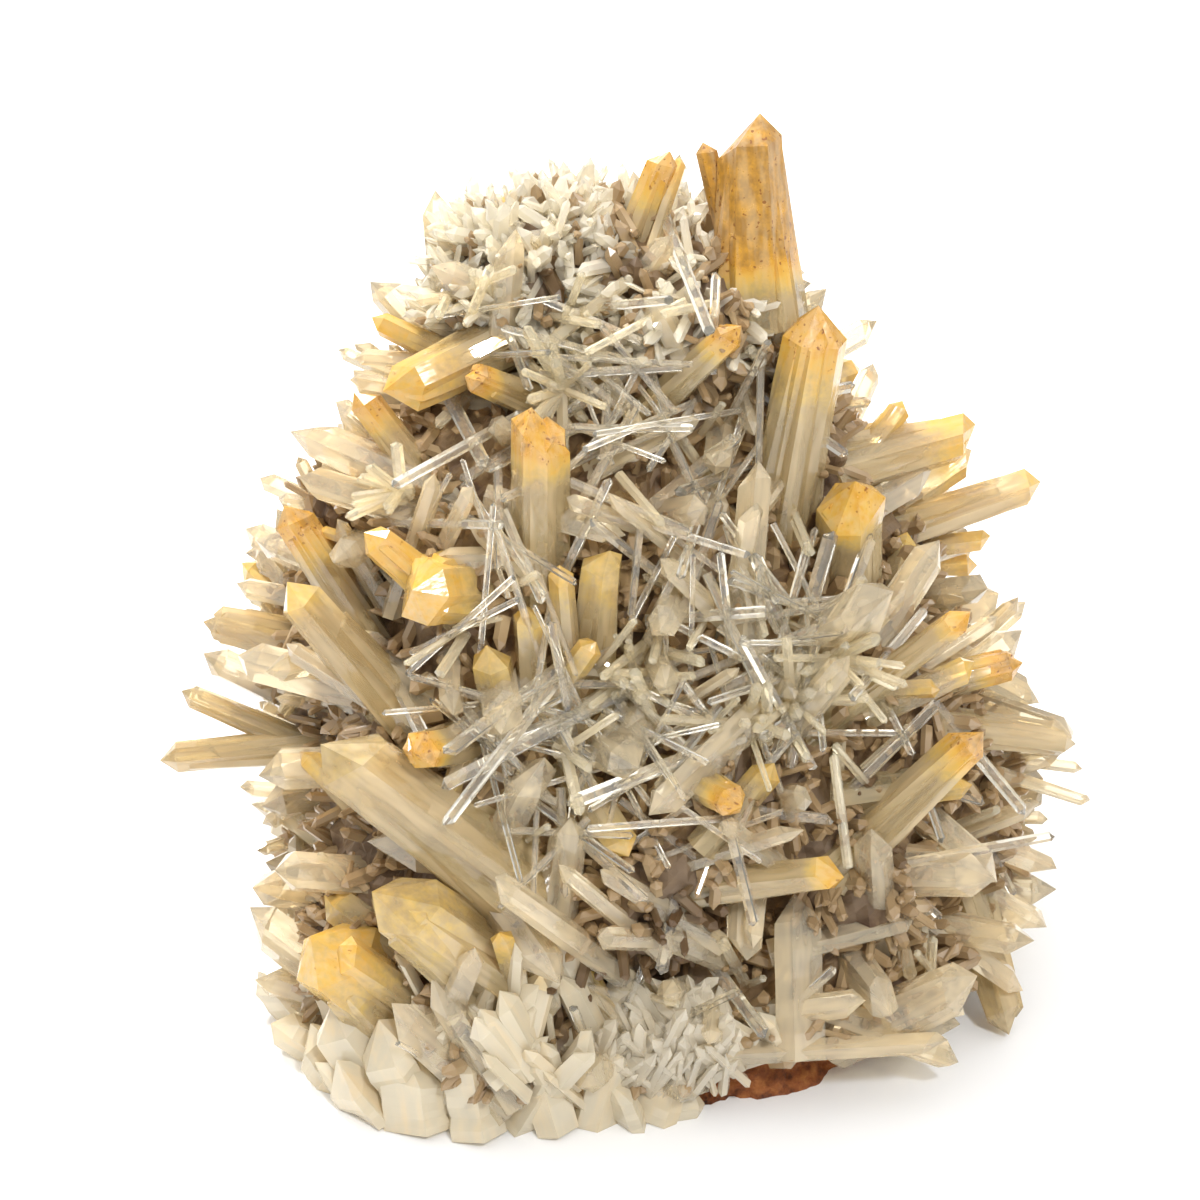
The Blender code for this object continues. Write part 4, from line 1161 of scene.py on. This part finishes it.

# The druse of the ground: small quartz points that cover it all, brown partly from iron stain and
# partly as painted shade between the larger crystals, and painted darker still as shade in the deep
# hollows. None hides the rock under the lifted edge.
GROUND_DRUSE = Crowd(5000, 33, 0, 200, (1.5, 4.4), (0.7, 1.8), 0.6, sink=1.0)
# Brown druse: partly iron stain, partly painted shade between the larger crystals.
DRUSE_LOOK = ((0.40, 0.27, 0.14, 1), 0.25, 0.4, 0.12)
# Painted shade: near black-brown druse for the deep hollows, where shade falls.
HOLLOW_SHADE_LOOK = ((0.13, 0.070, 0.027, 1), 0.2, 0.2, 0.45)
ROCK_WINDOW = np.array(((692, 1062), (866, 1150)))  # pixels, two corners


def off_rock(root, tip, width):
    """True for crystals that don't show in the window over the rock."""
    spot = pixels(tip)[0]
    return ~((spot > ROCK_WINDOW[0]) & (spot < ROCK_WINDOW[1])).all(axis=1)


druse = thinned(grown(GROUND_DRUSE), off_rock)
free = out_of_hollows(*druse)
druse_look = quartz_look("druse_stain_and_shade_look", *DRUSE_LOOK, fine=True)
crystal_piece("ground_druse", druse_look, crystals(*chosen(druse, free), seed=43))
# The druse that shows in the deep hollows gets the dark painted-shade look.
hollow_shade_look = quartz_look("druse_in_painted_shade_look", *HOLLOW_SHADE_LOOK, fine=True)
crystal_piece("druse_in_painted_shade", hollow_shade_look, crystals(*chosen(druse, ~free), seed=43))

# The druse of the crown: a sugary crust of small clear quartz points, some of them flat, that has
# grown over the top of the cluster.
CROWN_CROWD = Crowd(1400, 34, 88, 200, (2.0, 6.0), (0.8, 2.1), 0.9)
CROWN_LOOK = ((1.0, 0.95, 0.82, 1), 0.62, 0.3, 0.04)
crown = thinned(grown(CROWN_CROWD), *off_seen, out_of_hollows)
crown_look = quartz_look("crown_druse_look", *CROWN_LOOK, fine=True)
crystal_piece("crown_druse", crown_look, crystals(*crown, seed=44, irregular=0.24, flat=0.6))

# The crust of the foot all round: milky quartz in short blunt crystals that have grown into each
# other just above the table.
FOOT_CROWD = Crowd(420, 35, 0, 13, (3.5, 7), (3.5, 8.0), 0.5)
FOOT_FORM = dict(rings=5, steps=0.06, irregular=0.3, flat=0.5)
crust = thinned(grown(FOOT_CROWD), *off_seen, off_rock)
crystal_piece("foot_crust", milky_look, crystals(*crust, seed=45, **FOOT_FORM))

# Milky quartz shards have grown over the druse of the foot in front. They get smaller and whiter,
# like lumps of sugar, on the right.
SUGAR_LOOK = ((0.96, 0.89, 0.74, 1), 0.6, 0.4, 0.06)
Shards = namedtuple("Shards", "left top right bottom count widths")  # in pixels
SHARDS = (Shards(305, 985, 595, 1105, 120, (12, 30)), Shards(596, 992, 738, 1090, 150, (7, 17)))
SHARD_SEED = 37
SHARD_LENGTHS = (1.2, 2.6)  # of their widths
SHARD_TURN = 0.35 * math.pi  # the most that one turns from upright in the picture
SHARD_STAND = (2.0, 3.0, 0.3)  # lift and sunk in mm, least stand
SHARD_FORM = dict(rings=3, steps=0.05, irregular=0.3, flat=0.5)
sugar_look = quartz_look("sugary_look", *SUGAR_LOOK, fine=True)
rng = np.random.default_rng(SHARD_SEED)
for name, look, area in zip(("foot_shards", "sugary_lumps"), (milky_look, sugar_look), SHARDS):
    start = rng.uniform((area.left, area.top), (area.right, area.bottom), (area.count, 2))
    turn = rng.uniform(-SHARD_TURN, SHARD_TURN, area.count)
    thick = rng.uniform(*area.widths, area.count)
    far = thick * rng.uniform(*SHARD_LENGTHS, area.count)
    end = start + np.stack([np.sin(turn), -np.cos(turn)], -1) * far[:, None]
    shards = seen_group(np.column_stack([start, end, thick]), *SHARD_STAND)
    shards = thinned(shards, off_rock, clear_of(named))
    crystal_piece(name, look, crystals(*shards, seed=47, **SHARD_FORM))
